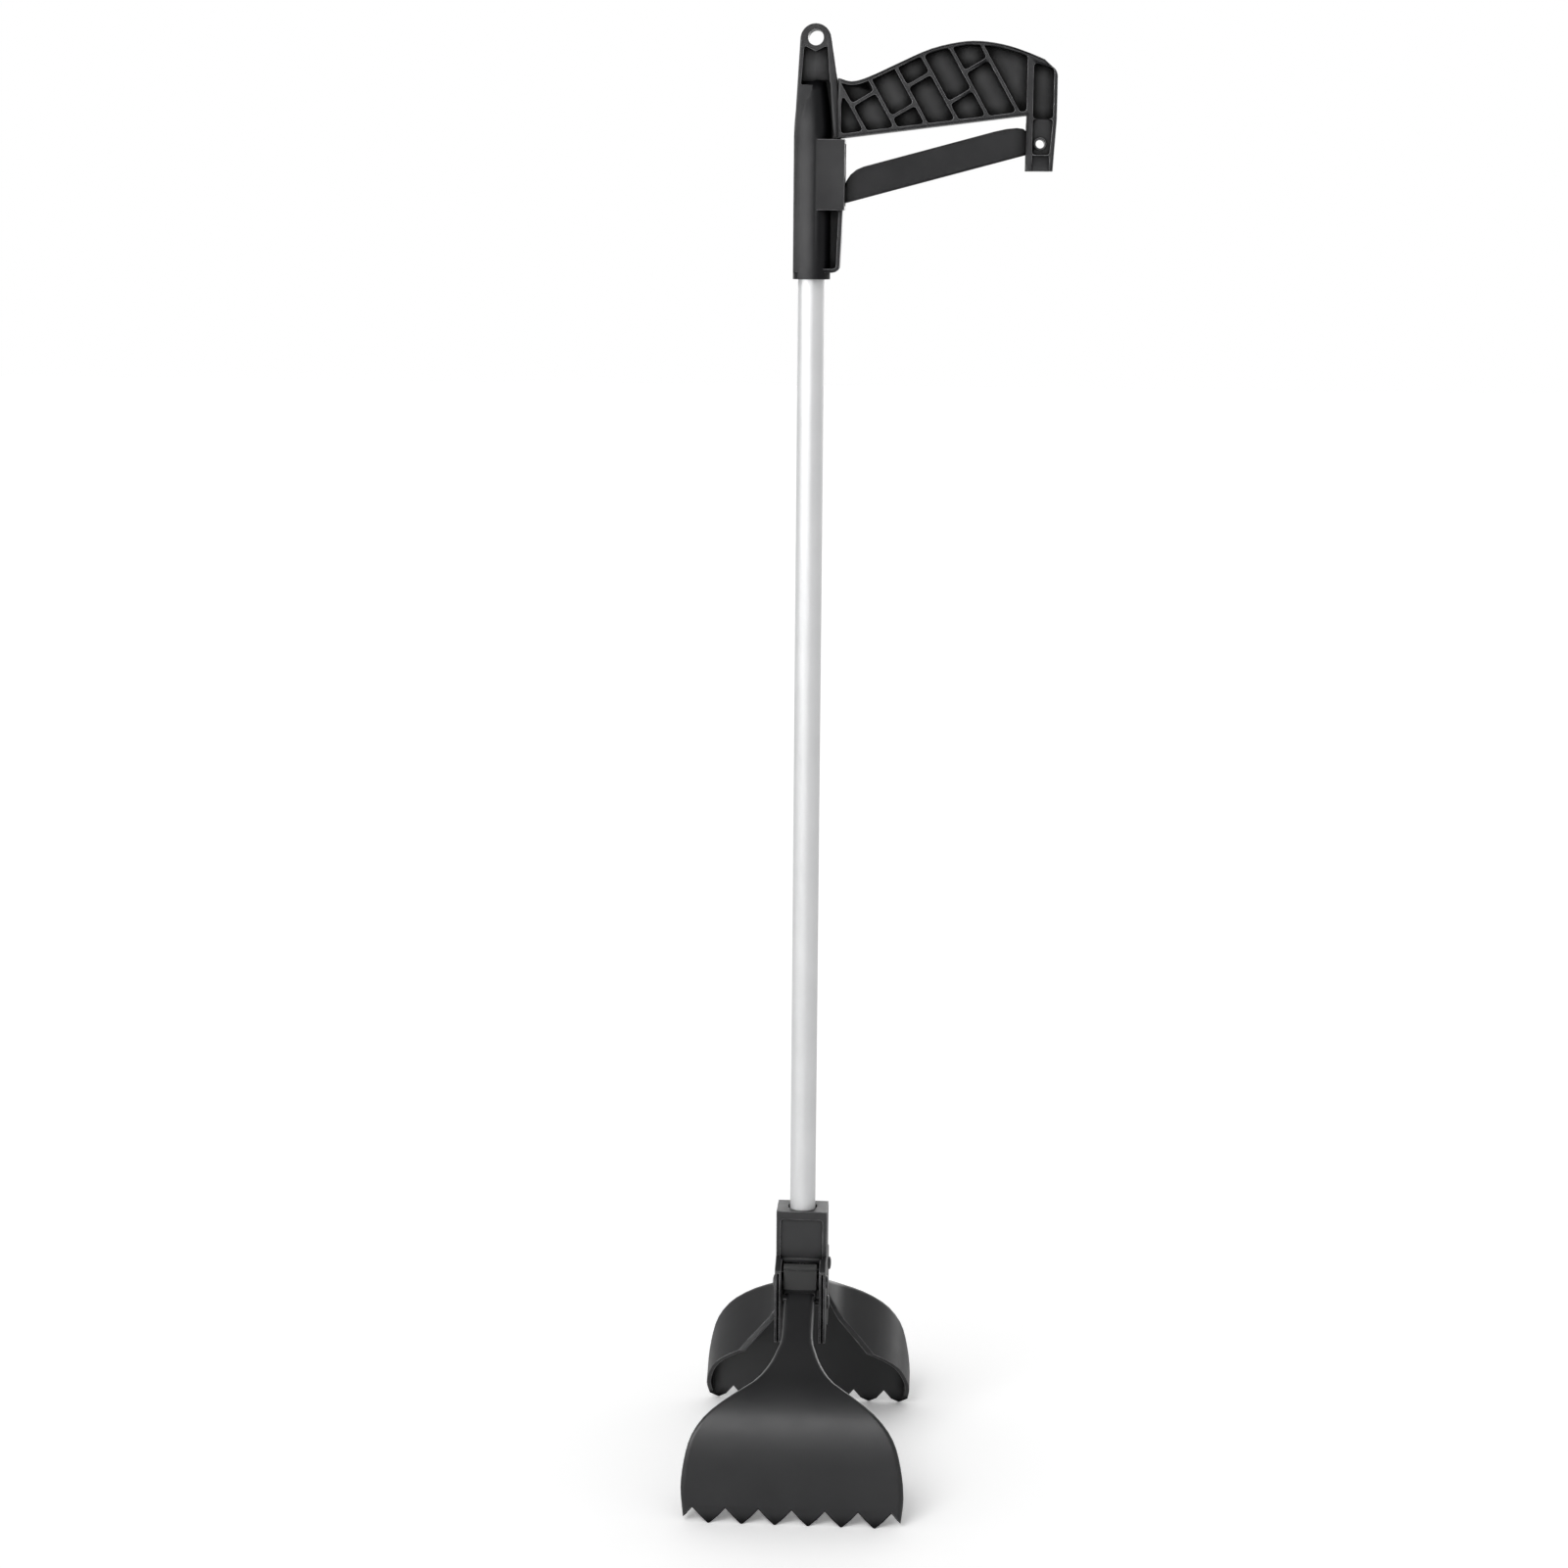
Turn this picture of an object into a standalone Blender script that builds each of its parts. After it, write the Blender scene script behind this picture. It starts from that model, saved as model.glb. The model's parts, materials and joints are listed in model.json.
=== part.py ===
"""Long-handled scooper for pet waste: a squeeze grip, an aluminium tube and two toothed jaws.

Metres, +Z up. The tool stands on its open jaws, with the origin on the floor under the middle of its
outline. The grip reaches towards +X and the front jaw opens towards -Y. Every piece is modelled
round the tube's axis, then hung on an empty that stands on that axis.
"""

import math

import bmesh
import bpy
import numpy as np
from mathutils import Vector

# Clearances and finish
GAP = 0.0003  # between pieces that seat, slide or turn on each other
OVERRUN = 0.004  # how far a cutter stands out of what it cuts
ROUND_STEPS = 32  # sides of a round piece
PIN_STEPS = 16  # sides of a pin, a screw or its hole
ARC_STEPS = 4  # points of a rounded corner
CORNER_STEPS = 3  # points of a small rounded corner
NOSE_STEPS = 7
WELD = 1e-6  # points closer than this are one point
SMOOTH_ANGLE = math.radians(35)

# Tube
TUBE_DIAMETER = 0.0160
TUBE_WALL = 0.0010
EXPOSED_TUBE = 0.5812  # between the hub and the handle
HUB_SOCKET_DEPTH = 0.0250
HANDLE_SOCKET_DEPTH = 0.0270

# Jaws, closed: the rims of both meet on the plane between them
JAW_WIDTH = 0.1370
JAW_LENGTH = 0.1502  # pivot to tooth tips
JAW_DEPTH = 0.0457  # plane between the jaws to the back of the bowl
JAW_WALL = 0.0028
JAW_CORNER = 0.0034  # outer radius between the back and the sides
JAW_OPEN_ANGLE = math.radians(38.8)
PIVOT_SPACING = 0.0350
RIM_GAP = 0.0006  # between the two closed rims
NECK_WIDTH = 0.0194
NECK_FLANGE = 0.0064
TOOTH_PITCH = 0.02045
TOOTH_DEPTH = 0.0083
TOOTH_FLAT = 0.0010
JAW_STATIONS = 34

# Back of a jaw: (share of the jaw's length below the pivot, share of its depth)
BACK_SHARES = (
    (0.06, 0.46),
    (0.16, 0.575),
    (0.28, 0.722),
    (0.38, 0.858),
    (0.46, 0.965),
    (0.53, 1.0),
    (0.60, 0.966),
    (0.66, 0.888),
    (0.72, 0.775),
    (0.78, 0.632),
    (0.86, 0.408),
    (0.93, 0.206),
    (1.0, 0.0),
    (1.06, -0.178),
)
# Bell outline of a jaw: (share of its length below the pivot, share of the way from neck to full width)
BELL_SHARES = (
    (0.06, 0.0),
    (0.26, 0.0),
    (0.33, 0.04),
    (0.40, 0.108),
    (0.47, 0.225),
    (0.52, 0.39),
    (0.57, 0.575),
    (0.63, 0.757),
    (0.70, 0.891),
    (0.78, 0.962),
    (0.87, 1.0),
    (0.95, 0.985),
    (1.06, 0.945),
)
# Where the side walls grow out of the neck's flanges, as shares of the jaw's length
SIDE_START_SHARE = 0.30
SIDE_FULL_SHARE = 0.75

# Jaw knuckles, pins and inner arms
JAW_PIN_DIAMETER = 0.0040
KNUCKLE_WIDTH = 0.0208
LUG_THICKNESS = 0.0034
LUG_WALL = 0.0029  # material round the pin's bore
KNUCKLE_FOOT_SHARE = 0.10  # of the jaw's length, where the knuckle grows out of the neck
HOOD_REACH = 0.0055  # the knuckle's flat front, measured out from the pivot with the jaw open
HOOD_RISE = 0.0125
HOOD_DROP = 0.0050
HOOD_WALL = 0.0030
HOOD_CHAMFER = 0.0014
ARM_THICKNESS = 0.0031
ARM_WALL = 0.0022  # material round the cam slot
CAM_STEPS = 7

# Crosshead, which the rod pulls up between the jaws
CROSSHEAD_PIN_DIAMETER = 0.0050
CROSSHEAD_PIN_DROP = 0.0200  # below the jaw pivots, jaws open
CROSSHEAD_WIDTH = 0.0064
CROSSHEAD_DEPTH = 0.0110
CROSSHEAD_BELOW_PIN = 0.0052
CROSSHEAD_ABOVE_PIN = 0.0090

# Hub
HUB_WIDTH = 0.0320
HUB_DEPTH = 0.0220
HUB_HEIGHT = 0.0340
HUB_RISE = 0.0100  # the block's underside above the jaw pivots
CHEEK_THICKNESS = 0.0040
CHEEK_REACH = 0.0240  # front and back of the tube's axis
CHEEK_DROP = 0.0400  # below the jaw pivots
CHEEK_BOSS_WALL = 0.0033
CHEEK_CORNER = 0.0050
CHEEK_ARCH_RISE = 0.0100
CHEEK_GROOVE = 0.0013  # in the cheeks' front and back edges
CHEEK_GROOVE_DEPTH = 0.0030
CHEEK_GROOVE_RISE = 0.0070  # above the jaw pivots
HUB_CORNER = 0.0015
PANEL_BORDER = 0.0028
PANEL_DEPTH = 0.0008
SOCKET_CHAMFER = 0.0010
PIN_HEAD_RIM = 0.0021  # how far a pin's head or cap stands out past its shank
PIN_HEAD_THICKNESS = 0.0012

# Pull rod and its fittings
ROD_DIAMETER = 0.0040
NUT_WIDTH = 0.0070  # across flats
NUT_THICKNESS = 0.0030
CLEVIS_DIAMETER = 0.0120
CLEVIS_ABOVE_PIN = 0.0080
CLEVIS_CLEARANCE = 0.0014  # between the lock nut and the bush, at rest
CLEVIS_PIN_DIAMETER = 0.0040
THREAD_DEPTH = 0.0055  # rod in the crosshead
THREAD_SHARE = 0.7  # of the clevis below its fork, which the rod fills
BUSH_LENGTH = 0.0120
BUSH_FLANGE = 0.0018
SPRING_WIRE = 0.0012
SPRING_DIAMETER = 0.0108  # outside
SPRING_LENGTH = 0.0600
SPRING_TURNS = 14
SPRING_POINTS_PER_TURN = 10
WASHER_THICKNESS = 0.0010
CLIP_THICKNESS = 0.0008
CLIP_RIM = 0.0022
CLIP_GROOVE = 0.0005

# Trigger
PIVOT_INSET = 0.0095  # the trigger's pivot from the pillar's outer edge
TRIGGER_DROP = 0.0361  # from the pivot's end to the tube's axis
TRIGGER_ANGLE = math.radians(7.2)
TRIGGER_HEIGHT = 0.0184
TRIGGER_WIDTH = 0.0130
TRIGGER_WALL = 0.0022
TRIGGER_FLOOR = 0.0032
TRIGGER_EDGE = 0.0024  # rounding of its long edges
TRIGGER_RIBS = 5
# Where its top turns down at each end: (share of its height left, reach as a share of its height)
TRIGGER_END_SHARES = ((0.50, 0.60), (0.74, 1.00))
TRIGGER_TAIL_THICKNESS = 0.0048
TRIGGER_TAIL_RADIUS = 0.0042
TRIGGER_PIVOT_OUTER = 0.0062  # outer diameter of the hollow rivet
TRIGGER_PIVOT_BORE = 0.0052
TRIGGER_PIVOT_RIM = 0.0005  # how far its flared ends stand out
TRIGGER_HUB_WALL = 0.0016
TRIGGER_FOOT_DROP = 0.0042  # its lower edge below the pivot

# Handle: heights are above the mouth of its tube socket
BARREL_DIAMETER = 0.0224
BARREL_SHOULDER = 0.0830  # where the barrel starts to narrow
BARREL_HEIGHT = 0.1150
NOSE_DIAMETER = 0.0152
CAVITY_DIAMETER = 0.0150
CAVITY_HEIGHT = 0.0860
FLANGE_REACH = 0.0171
FLANGE_FLARE = 0.0014  # how much farther it reaches at the boss
FLANGE_WIDTH = 0.0170
FLANGE_BOTTOM = 0.0040
FLANGE_CORNER = 0.0045
RIM_THICKNESS = 0.0022
WEB_THICKNESS = 0.0026
BOSS_REACH = 0.0196
BOSS_WIDTH = 0.0216
BOSS_BOTTOM = 0.0406
BOSS_HEIGHT = 0.0410
BOSS_WALL = 0.0024  # below and above the trigger's slot
TRIGGER_SIDE_GAP = 0.0006
TONGUE_SHOULDER = 0.1158
TONGUE_REACH = 0.0148
TONGUE_THICKNESS = 0.0080  # floor of the recess
EYE_X = 0.0018
EYE_HEIGHT = 0.1388
EYE_RADIUS = 0.0092
EYE_HOLE_DIAMETER = 0.0092
EYE_HOLE_RISE = 0.0012
GRIP_REACH = 0.1437
GRIP_CREST = 0.1381
GRIP_WIDTH = 0.0230
GRIP_BOTTOM = 0.0824  # at the flange
GRIP_BOTTOM_RISE = 0.0137  # from the flange to the pillar
GRIP_EDGE = 0.0012
RIB_THICKNESS = 0.0018
RIB_PITCH = 0.0192
RIB_SLOPE = math.radians(60)
RIB_START = 0.0206
RIB_HEIGHT = 0.1054
RIB_COUNT = 6
CELL_CORNER = 0.0022
PILLAR_WIDTH = 0.0178
PILLAR_RIM = 0.0036  # on the grip's side
PILLAR_TAPER = 0.0018
PILLAR_BOTTOM = 0.0640
PILLAR_CORNER = 0.0065
PIVOT_HEIGHT = 0.0797
PILLAR_RECESS = 0.0024
PILLAR_OUTER_WALL = 0.0018  # beside the trigger's end
PILLAR_STEP = 0.0940
PILLAR_LEDGE = 0.0732  # where the lower recess meets the one at the foot
# Top of the grip: (share of its reach, share of its crest's height)
GRIP_TOP_SHARES = (
    (0.107, 0.846),
    (0.165, 0.832),
    (0.240, 0.855),
    (0.355, 0.910),
    (0.480, 0.967),
    (0.600, 0.996),
    (0.690, 1.0),
    (0.790, 0.984),
    (0.880, 0.954),
    (0.945, 0.927),
)
# How far up the grip each cross rib sits, as a share of the grip's height there
CROSS_RIB_SHARES = (0.63, 0.286, 0.647, 0.327, 0.723)

# Screws that hold the tube
SCREW_DIAMETER = 0.0030
SCREW_HEAD_DIAMETER = 0.0056
SCREW_HEAD_THICKNESS = 0.0018
SCREW_REACH = 0.0008  # past the tube's inner wall
HANDLE_SCREW_SHARE = 0.6  # of the tube's seat below the upper bush
HUB_SCREW_DROP = 0.0130  # below the hub's top

# Places that follow from the sizes
TRIGGER_ARM = GRIP_REACH - PIVOT_INSET
TRIGGER_SLOPE = math.atan(TRIGGER_DROP / TRIGGER_ARM)
HALF_SPACING = PIVOT_SPACING / 2
ROD_TRAVEL = TRIGGER_ARM * TRIGGER_ANGLE
TIP_INSET = HALF_SPACING - RIM_GAP / 2
PIVOT_Z = JAW_LENGTH * math.cos(JAW_OPEN_ANGLE) + TIP_INSET * math.sin(JAW_OPEN_ANGLE)
HUB_BOTTOM_Z = PIVOT_Z + HUB_RISE
HUB_TOP_Z = HUB_BOTTOM_Z + HUB_HEIGHT
TUBE_BOTTOM_Z = HUB_TOP_Z - HUB_SOCKET_DEPTH
HANDLE_Z = HUB_TOP_Z + EXPOSED_TUBE
TUBE_TOP_Z = HANDLE_Z + HANDLE_SOCKET_DEPTH
TUBE_X = (JAW_WIDTH / 2 - GRIP_REACH) / 2
CROSSHEAD_PIN_Z = PIVOT_Z - CROSSHEAD_PIN_DROP
TRIGGER_PIVOT_Z = HANDLE_Z + PIVOT_HEIGHT
HANDLE_SCREW_Z = HANDLE_Z + HANDLE_SCREW_SHARE * (HANDLE_SOCKET_DEPTH - BUSH_LENGTH)
HUB_SCREW_Z = HUB_TOP_Z - HUB_SCREW_DROP


# Outlines, as arrays of points in a plane


def arc(centre, radius, start, end, steps=ARC_STEPS):
    """Points on an arc, from one angle to the other."""
    angles = np.linspace(start, end, steps + 1)
    return np.column_stack((centre[0] + radius * np.cos(angles), centre[1] + radius * np.sin(angles)))


def circle(centre, radius, steps=ROUND_STEPS):
    return arc(centre, radius, 0, 2 * math.pi, steps)[:-1]


def rectangle(low, high):
    return np.array([(low[0], low[1]), (high[0], low[1]), (high[0], high[1]), (low[0], high[1])])


def hull(points):
    """The convex outline round a set of points, anticlockwise."""
    ordered = sorted(map(tuple, points))

    def chain(sequence):
        kept = []
        for point in sequence:
            while len(kept) > 1:
                a, b = np.subtract(kept[-1], kept[-2]), np.subtract(point, kept[-2])
                if a[0] * b[1] - a[1] * b[0] > 0:
                    break
                kept.pop()
            kept.append(point)
        return kept[:-1]

    return np.array(chain(ordered) + chain(ordered[::-1]))


def kept_side(outline, point, normal):
    """The outline's part on the side of a line that the normal points to."""
    heights = (outline - point) @ np.asarray(normal)
    kept = []
    for here, there, a, b in zip(outline, np.roll(outline, -1, 0), heights, np.roll(heights, -1)):
        if a >= 0:
            kept.append(here)
        if (a >= 0) != (b >= 0):
            kept.append(here + (there - here) * a / (a - b))
    return np.array(kept)


def rounded(outline, radius, steps=CORNER_STEPS):
    """The outline with each corner replaced by an arc, shrunk where an edge is short."""
    result = []
    for before, corner, after in zip(np.roll(outline, 1, 0), outline, np.roll(outline, -1, 0)):
        back, ahead = before - corner, after - corner
        back_length, ahead_length = np.linalg.norm(back), np.linalg.norm(ahead)
        back, ahead = back / back_length, ahead / ahead_length
        half = math.acos(np.clip(back @ ahead, -1, 1)) / 2
        if half > math.radians(80):
            result.append(corner)
            continue
        reach = min(radius / math.tan(half), 0.45 * back_length, 0.45 * ahead_length)
        first, last = corner + back * reach, corner + ahead * reach
        for share in np.linspace(0, 1, steps + 1):
            result.append((1 - share) ** 2 * first + 2 * share * (1 - share) * corner + share**2 * last)
    return np.array(result)


def smooth_curve(points, samples):
    """Points along a Catmull-Rom curve through the given ones."""
    points = np.asarray(points, float)
    padded = np.vstack((2 * points[0] - points[1], points, 2 * points[-1] - points[-2]))
    place = np.linspace(0, len(points) - 1, samples)
    index = np.minimum(place.astype(int), len(points) - 2)
    t = (place - index)[:, None]
    a, b, c, d = (padded[index + shift] for shift in range(4))
    return 0.5 * (2 * b + (c - a) * t + (2 * a - 5 * b + 4 * c - d) * t**2 + (3 * b - a - 3 * c + d) * t**3)


def capsule(first, last, radius, steps=PIN_STEPS // 2):
    """A slot's outline: a band with round ends from one point to another."""
    angle = math.atan2(last[1] - first[1], last[0] - first[0])
    quarter = math.pi / 2
    return np.vstack((
        arc(last, radius, angle - quarter, angle + quarter, steps),
        arc(first, radius, angle + quarter, angle + 3 * quarter, steps),
    ))


# Solids


def solid(name, build):
    """A mesh object from a bmesh that the build function fills, with its faces turned outwards."""
    shape = bmesh.new()
    build(shape)
    bmesh.ops.remove_doubles(shape, verts=shape.verts, dist=WELD)
    bmesh.ops.recalc_face_normals(shape, faces=shape.faces)
    mesh = bpy.data.meshes.new(name)
    shape.to_mesh(mesh)
    shape.free()
    piece = bpy.data.objects.new(name, mesh)
    bpy.context.scene.collection.objects.link(piece)
    return piece


def prism(name, outline, low, high, across, edge=0.0, keep_edge=None):
    """An outline carried from low to high along the named axis, with its outer edges rounded off.

    The outline is in (x, z) across Y, in (y, z) across X, and in (x, y) across Z.
    """
    along = "XYZ".index(across)

    def build(shape):
        corners = [shape.verts.new(np.insert(point, along, low)) for point in outline]
        face = shape.faces.new(corners)
        carried = bmesh.ops.extrude_face_region(shape, geom=[face])["geom"]
        step = Vector(np.insert([0.0, 0.0], along, high - low))
        moved = [part for part in carried if isinstance(part, bmesh.types.BMVert)]
        bmesh.ops.translate(shape, vec=step, verts=moved)
        if not edge:
            return
        rims = [e for e in shape.edges if abs(e.verts[0].co[along] - e.verts[1].co[along]) < GAP / 10]
        if keep_edge:
            rims = [e for e in rims if keep_edge((e.verts[0].co + e.verts[1].co) / 2)]
        bmesh.ops.bevel(
            shape, geom=rims, offset=edge, segments=2, profile=0.5, affect="EDGES", clamp_overlap=True,
        )

    return solid(name, build)


def turned(name, profile, centre=(0.0, 0.0, 0.0), axis="Z", steps=ROUND_STEPS):
    """A closed profile of (radius, height) turned about a named axis through the centre."""
    along = Vector([float(letter == axis) for letter in "XYZ"])
    outward = Vector((0, 0, 1)) if axis == "X" else Vector((1, 0, 0))

    def build(shape):
        places = [Vector(centre) + outward * radius + along * height for radius, height in profile]
        ring = [shape.verts.new(place) for place in places]
        edges = [shape.edges.new(pair) for pair in zip(ring, ring[1:] + ring[:1])]
        bmesh.ops.spin(
            shape, geom=ring + edges, cent=centre, axis=along, angle=2 * math.pi, steps=steps, use_merge=True
        )
        bmesh.ops.remove_doubles(shape, verts=shape.verts, dist=WELD)
        loose = [edge for edge in shape.edges if not edge.link_faces]
        bmesh.ops.delete(shape, geom=loose, context="EDGES")

    return solid(name, build)


def rod_profile(radius, low, high, chamfer=0.0):
    if not chamfer:
        return [(0, low), (radius, low), (radius, high), (0, high)]
    return [
        (0, low), (radius - chamfer, low), (radius, low + chamfer),
        (radius, high - chamfer), (radius - chamfer, high), (0, high),
    ]


def ring_profile(inner, outer, low, high):
    return [(inner, low), (outer, low), (outer, high), (inner, high)]


def combine(body, tools, operation, solver):
    """Joins the tools to the body, or cuts them from it, one after another."""
    for tool in tools:
        modifier = body.modifiers.new(operation.title(), "BOOLEAN")
        modifier.operation = operation
        modifier.solver = solver
        modifier.object = tool
        graph = bpy.context.evaluated_depsgraph_get()
        shaped = bpy.data.meshes.new_from_object(body.evaluated_get(graph))
        body.modifiers.clear()
        previous = body.data
        name = previous.name
        body.data = shaped
        bpy.data.meshes.remove(previous)
        shaped.name = name
        used = tool.data
        bpy.data.objects.remove(tool)
        bpy.data.meshes.remove(used)
    return body


def join(body, *tools, solver="EXACT"):
    return combine(body, tools, "UNION", solver)


def cut(body, *tools, solver="EXACT"):
    return combine(body, tools, "DIFFERENCE", solver)


def merged(name, tools):
    """Several separate cutters as one, for a single cut."""

    def build(shape):
        for tool in tools:
            shape.from_mesh(tool.data)

    whole = solid(name, build)
    for tool in tools:
        used = tool.data
        bpy.data.objects.remove(tool)
        bpy.data.meshes.remove(used)
    return whole


def mirrored_pair(name, outline, low, high, edge=0.0):
    """The same prism on the front and on the back, as one cutter."""
    sides = (prism(name, outline, -high, -low, "Y", edge), prism(name, outline, low, high, "Y", edge))
    return merged(name, sides)


def finish(piece, name, material, stand, pivot=(0.0, 0.0, 0.0)):
    """Names a piece, shades it, puts its origin on its pivot and hangs it on the stand."""
    piece.name = name
    mesh = piece.data
    mesh.name = name
    mesh.materials.clear()
    mesh.materials.append(material)
    mesh.shade_smooth()
    mesh.set_sharp_from_angle(angle=SMOOTH_ANGLE)
    points = np.empty(len(mesh.vertices) * 3)
    mesh.vertices.foreach_get("co", points)
    mesh.vertices.foreach_set("co", (points.reshape(-1, 3) - pivot).ravel())
    piece.location = pivot
    piece.parent = stand
    return piece


# Jaws, modelled closed, about their pivot: x across, y outwards negated, z up


def jaw_outline():
    """Arrays along the jaw: depth below the pivot, back distance outwards from it, half width."""
    below = np.linspace(BACK_SHARES[0][0], BACK_SHARES[-1][0], JAW_STATIONS)
    back = smooth_curve(BACK_SHARES, 10 * len(BACK_SHARES))
    bell = smooth_curve(BELL_SHARES, 10 * len(BELL_SHARES))
    outward = np.interp(below, back[:, 0], back[:, 1]) * (JAW_DEPTH - RIM_GAP / 2) - TIP_INSET
    half_width = NECK_WIDTH / 2 + np.interp(below, bell[:, 0], bell[:, 1]) * (JAW_WIDTH - NECK_WIDTH) / 2
    return below * JAW_LENGTH, outward, half_width


def jaw_section(half_width, outward, rim, corner):
    """One section of the jaw: from one side's rim, round the back, to the other side's rim."""
    quarter = np.linspace(0, math.pi / 2, ARC_STEPS + 1)
    right = np.column_stack((
        half_width - corner + corner * np.cos(quarter),
        outward - corner + corner * np.sin(quarter),
    ))
    right = np.vstack(([half_width, rim], right))
    left = right[::-1] * (-1, 1)
    return np.vstack((right, left))


def jaw_skin(below, outward, half_width, rim, corner):
    sections = [jaw_section(w, o, r, corner) for w, o, r in zip(half_width, outward, rim)]
    depths = np.repeat(-below, len(sections[0]))
    flat = np.vstack(sections)
    return np.column_stack((flat[:, 0], -flat[:, 1], depths)).reshape(len(below), -1, 3)


def jaw_shell():
    """The neck and the bowl: an outer and an inner skin, joined along their rims and ends."""
    below, outward, half_width = jaw_outline()
    share = np.clip((below / JAW_LENGTH - SIDE_START_SHARE) / (SIDE_FULL_SHARE - SIDE_START_SHARE), 0, 1)
    full = JAW_DEPTH + HALF_SPACING
    rim = outward - NECK_FLANGE - (full - NECK_FLANGE) * share**2 * (3 - 2 * share)
    back_slope, side_slope = np.gradient(outward, below), np.gradient(half_width, below)
    inner_back = outward - JAW_WALL * np.sqrt(1 + back_slope**2)
    inner_width = half_width - JAW_WALL * np.sqrt(1 + side_slope**2)
    skins = (
        jaw_skin(below, outward, half_width, rim, JAW_CORNER),
        jaw_skin(below, inner_back, inner_width, rim, JAW_CORNER - JAW_WALL),
    )

    def build(shape):
        outer, inner = (
            [[shape.verts.new(point) for point in section] for section in skin] for skin in skins
        )
        for grid in (outer, inner):
            for near, far in zip(grid, grid[1:]):
                for corners in zip(near, near[1:], far[1:], far):
                    shape.faces.new(corners)
        for side in (0, -1):
            for row in range(len(outer) - 1):
                shape.faces.new((
                    outer[row][side], outer[row + 1][side], inner[row + 1][side], inner[row][side],
                ))
        for end in (0, -1):
            for column in range(len(outer[0]) - 1):
                shape.faces.new((
                    outer[end][column], outer[end][column + 1], inner[end][column + 1], inner[end][column],
                ))

    return solid("jaw_shell", build)


def opened(points):
    """Points beside the pivot, (outwards, up) with the jaw open, turned to where they are closed."""
    c, s = math.cos(JAW_OPEN_ANGLE), math.sin(JAW_OPEN_ANGLE)
    outwards, up = np.asarray(points, float).T
    return np.column_stack((-(outwards * c + up * s), up * c - outwards * s))


def cam_path():
    """Where the crosshead pin lies as it rises, (y, z) about a closed jaw's pivot.

    The rod's travel and the jaw's turn stay in one ratio, so the slot is the pin's path seen from the
    turning jaw.
    """
    share = np.linspace(0, 1, CAM_STEPS)
    still_open = JAW_OPEN_ANGLE * (1 - share)
    rise = ROD_TRAVEL * share - CROSSHEAD_PIN_DROP
    y, z = HALF_SPACING, rise
    return np.column_stack((
        y * np.cos(still_open) - z * np.sin(still_open),
        y * np.sin(still_open) + z * np.cos(still_open),
    ))


def band(path, radius):
    """The outline of a round-ended band of one radius along a path."""
    along = np.gradient(path, axis=0)
    along /= np.linalg.norm(along, axis=1)[:, None]
    aside = np.column_stack((along[:, 1], -along[:, 0]))
    start, end = math.atan2(*along[0][::-1]), math.atan2(*along[-1][::-1])
    quarter = math.pi / 2
    return np.vstack((
        (path + aside * radius)[1:-1],
        arc(path[-1], radius, end - quarter, end + quarter, PIN_STEPS // 2),
        (path - aside * radius)[1:-1][::-1],
        arc(path[0], radius, start + quarter, start + 3 * quarter, PIN_STEPS // 2),
    ))


def knuckle_pieces():
    """Two lugs, the hood that joins them, and the arm that the crosshead pin works."""
    bore = JAW_PIN_DIAMETER / 2 + GAP
    lug_radius = bore + LUG_WALL
    half = KNUCKLE_WIDTH / 2
    below, outward, _ = jaw_outline()
    row = np.flatnonzero(below < KNUCKLE_FOOT_SHARE * JAW_LENGTH)[-1]
    neck = np.array((-(outward[row] - JAW_WALL / 2), -below[row]))
    flange = neck + (NECK_FLANGE - JAW_WALL, 0)
    inner_reach = HOOD_REACH - HOOD_WALL
    buried = HOOD_REACH - HOOD_WALL / 2
    front = opened([(buried, HOOD_RISE - HOOD_WALL), (buried, -HOOD_DROP)])
    lug = hull(np.vstack((circle((0, 0), lug_radius), front, [neck, flange])))
    face, behind = opened([(HOOD_REACH - GAP, 0), (0, 0)])
    lug = kept_side(lug, face, behind - face)
    lugs = [
        prism("lug", lug, side - LUG_THICKNESS / 2, side + LUG_THICKNESS / 2, "X")
        for side in (half - LUG_THICKNESS / 2, LUG_THICKNESS / 2 - half)
    ]
    faces = opened([
        (inner_reach, HOOD_RISE), (HOOD_REACH - HOOD_CHAMFER, HOOD_RISE),
        (HOOD_REACH, HOOD_RISE - HOOD_CHAMFER), (HOOD_REACH, -HOOD_DROP), (inner_reach, 0),
    ])
    outline = np.vstack((faces[:4], [neck - (JAW_WALL / 3, 0), neck + (JAW_WALL / 3, 0)], faces[4:]))
    hood = prism("hood", outline, -half, half, "X")
    slot_radius = CROSSHEAD_PIN_DIAMETER / 2 + GAP
    path = cam_path()
    ends = [circle(point, slot_radius + ARM_WALL) for point in path]
    start = CROSSHEAD_WIDTH / 2 + GAP
    inside = half - LUG_THICKNESS / 2
    arm_outline = hull(np.vstack([circle((0, 0), lug_radius)] + ends))
    arm = prism("arm", arm_outline, start, start + ARM_THICKNESS, "X")
    shoulder = prism("shoulder", circle((0, 0), lug_radius - GAP), start + ARM_THICKNESS / 2, inside, "X")
    cuts = [
        prism("slot", band(path, slot_radius), 0, half - LUG_THICKNESS, "X"),
        turned("bore", rod_profile(bore, -half - OVERRUN, half + OVERRUN), axis="X", steps=PIN_STEPS),
    ]
    return lugs + [hood, arm, shoulder], cuts


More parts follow.
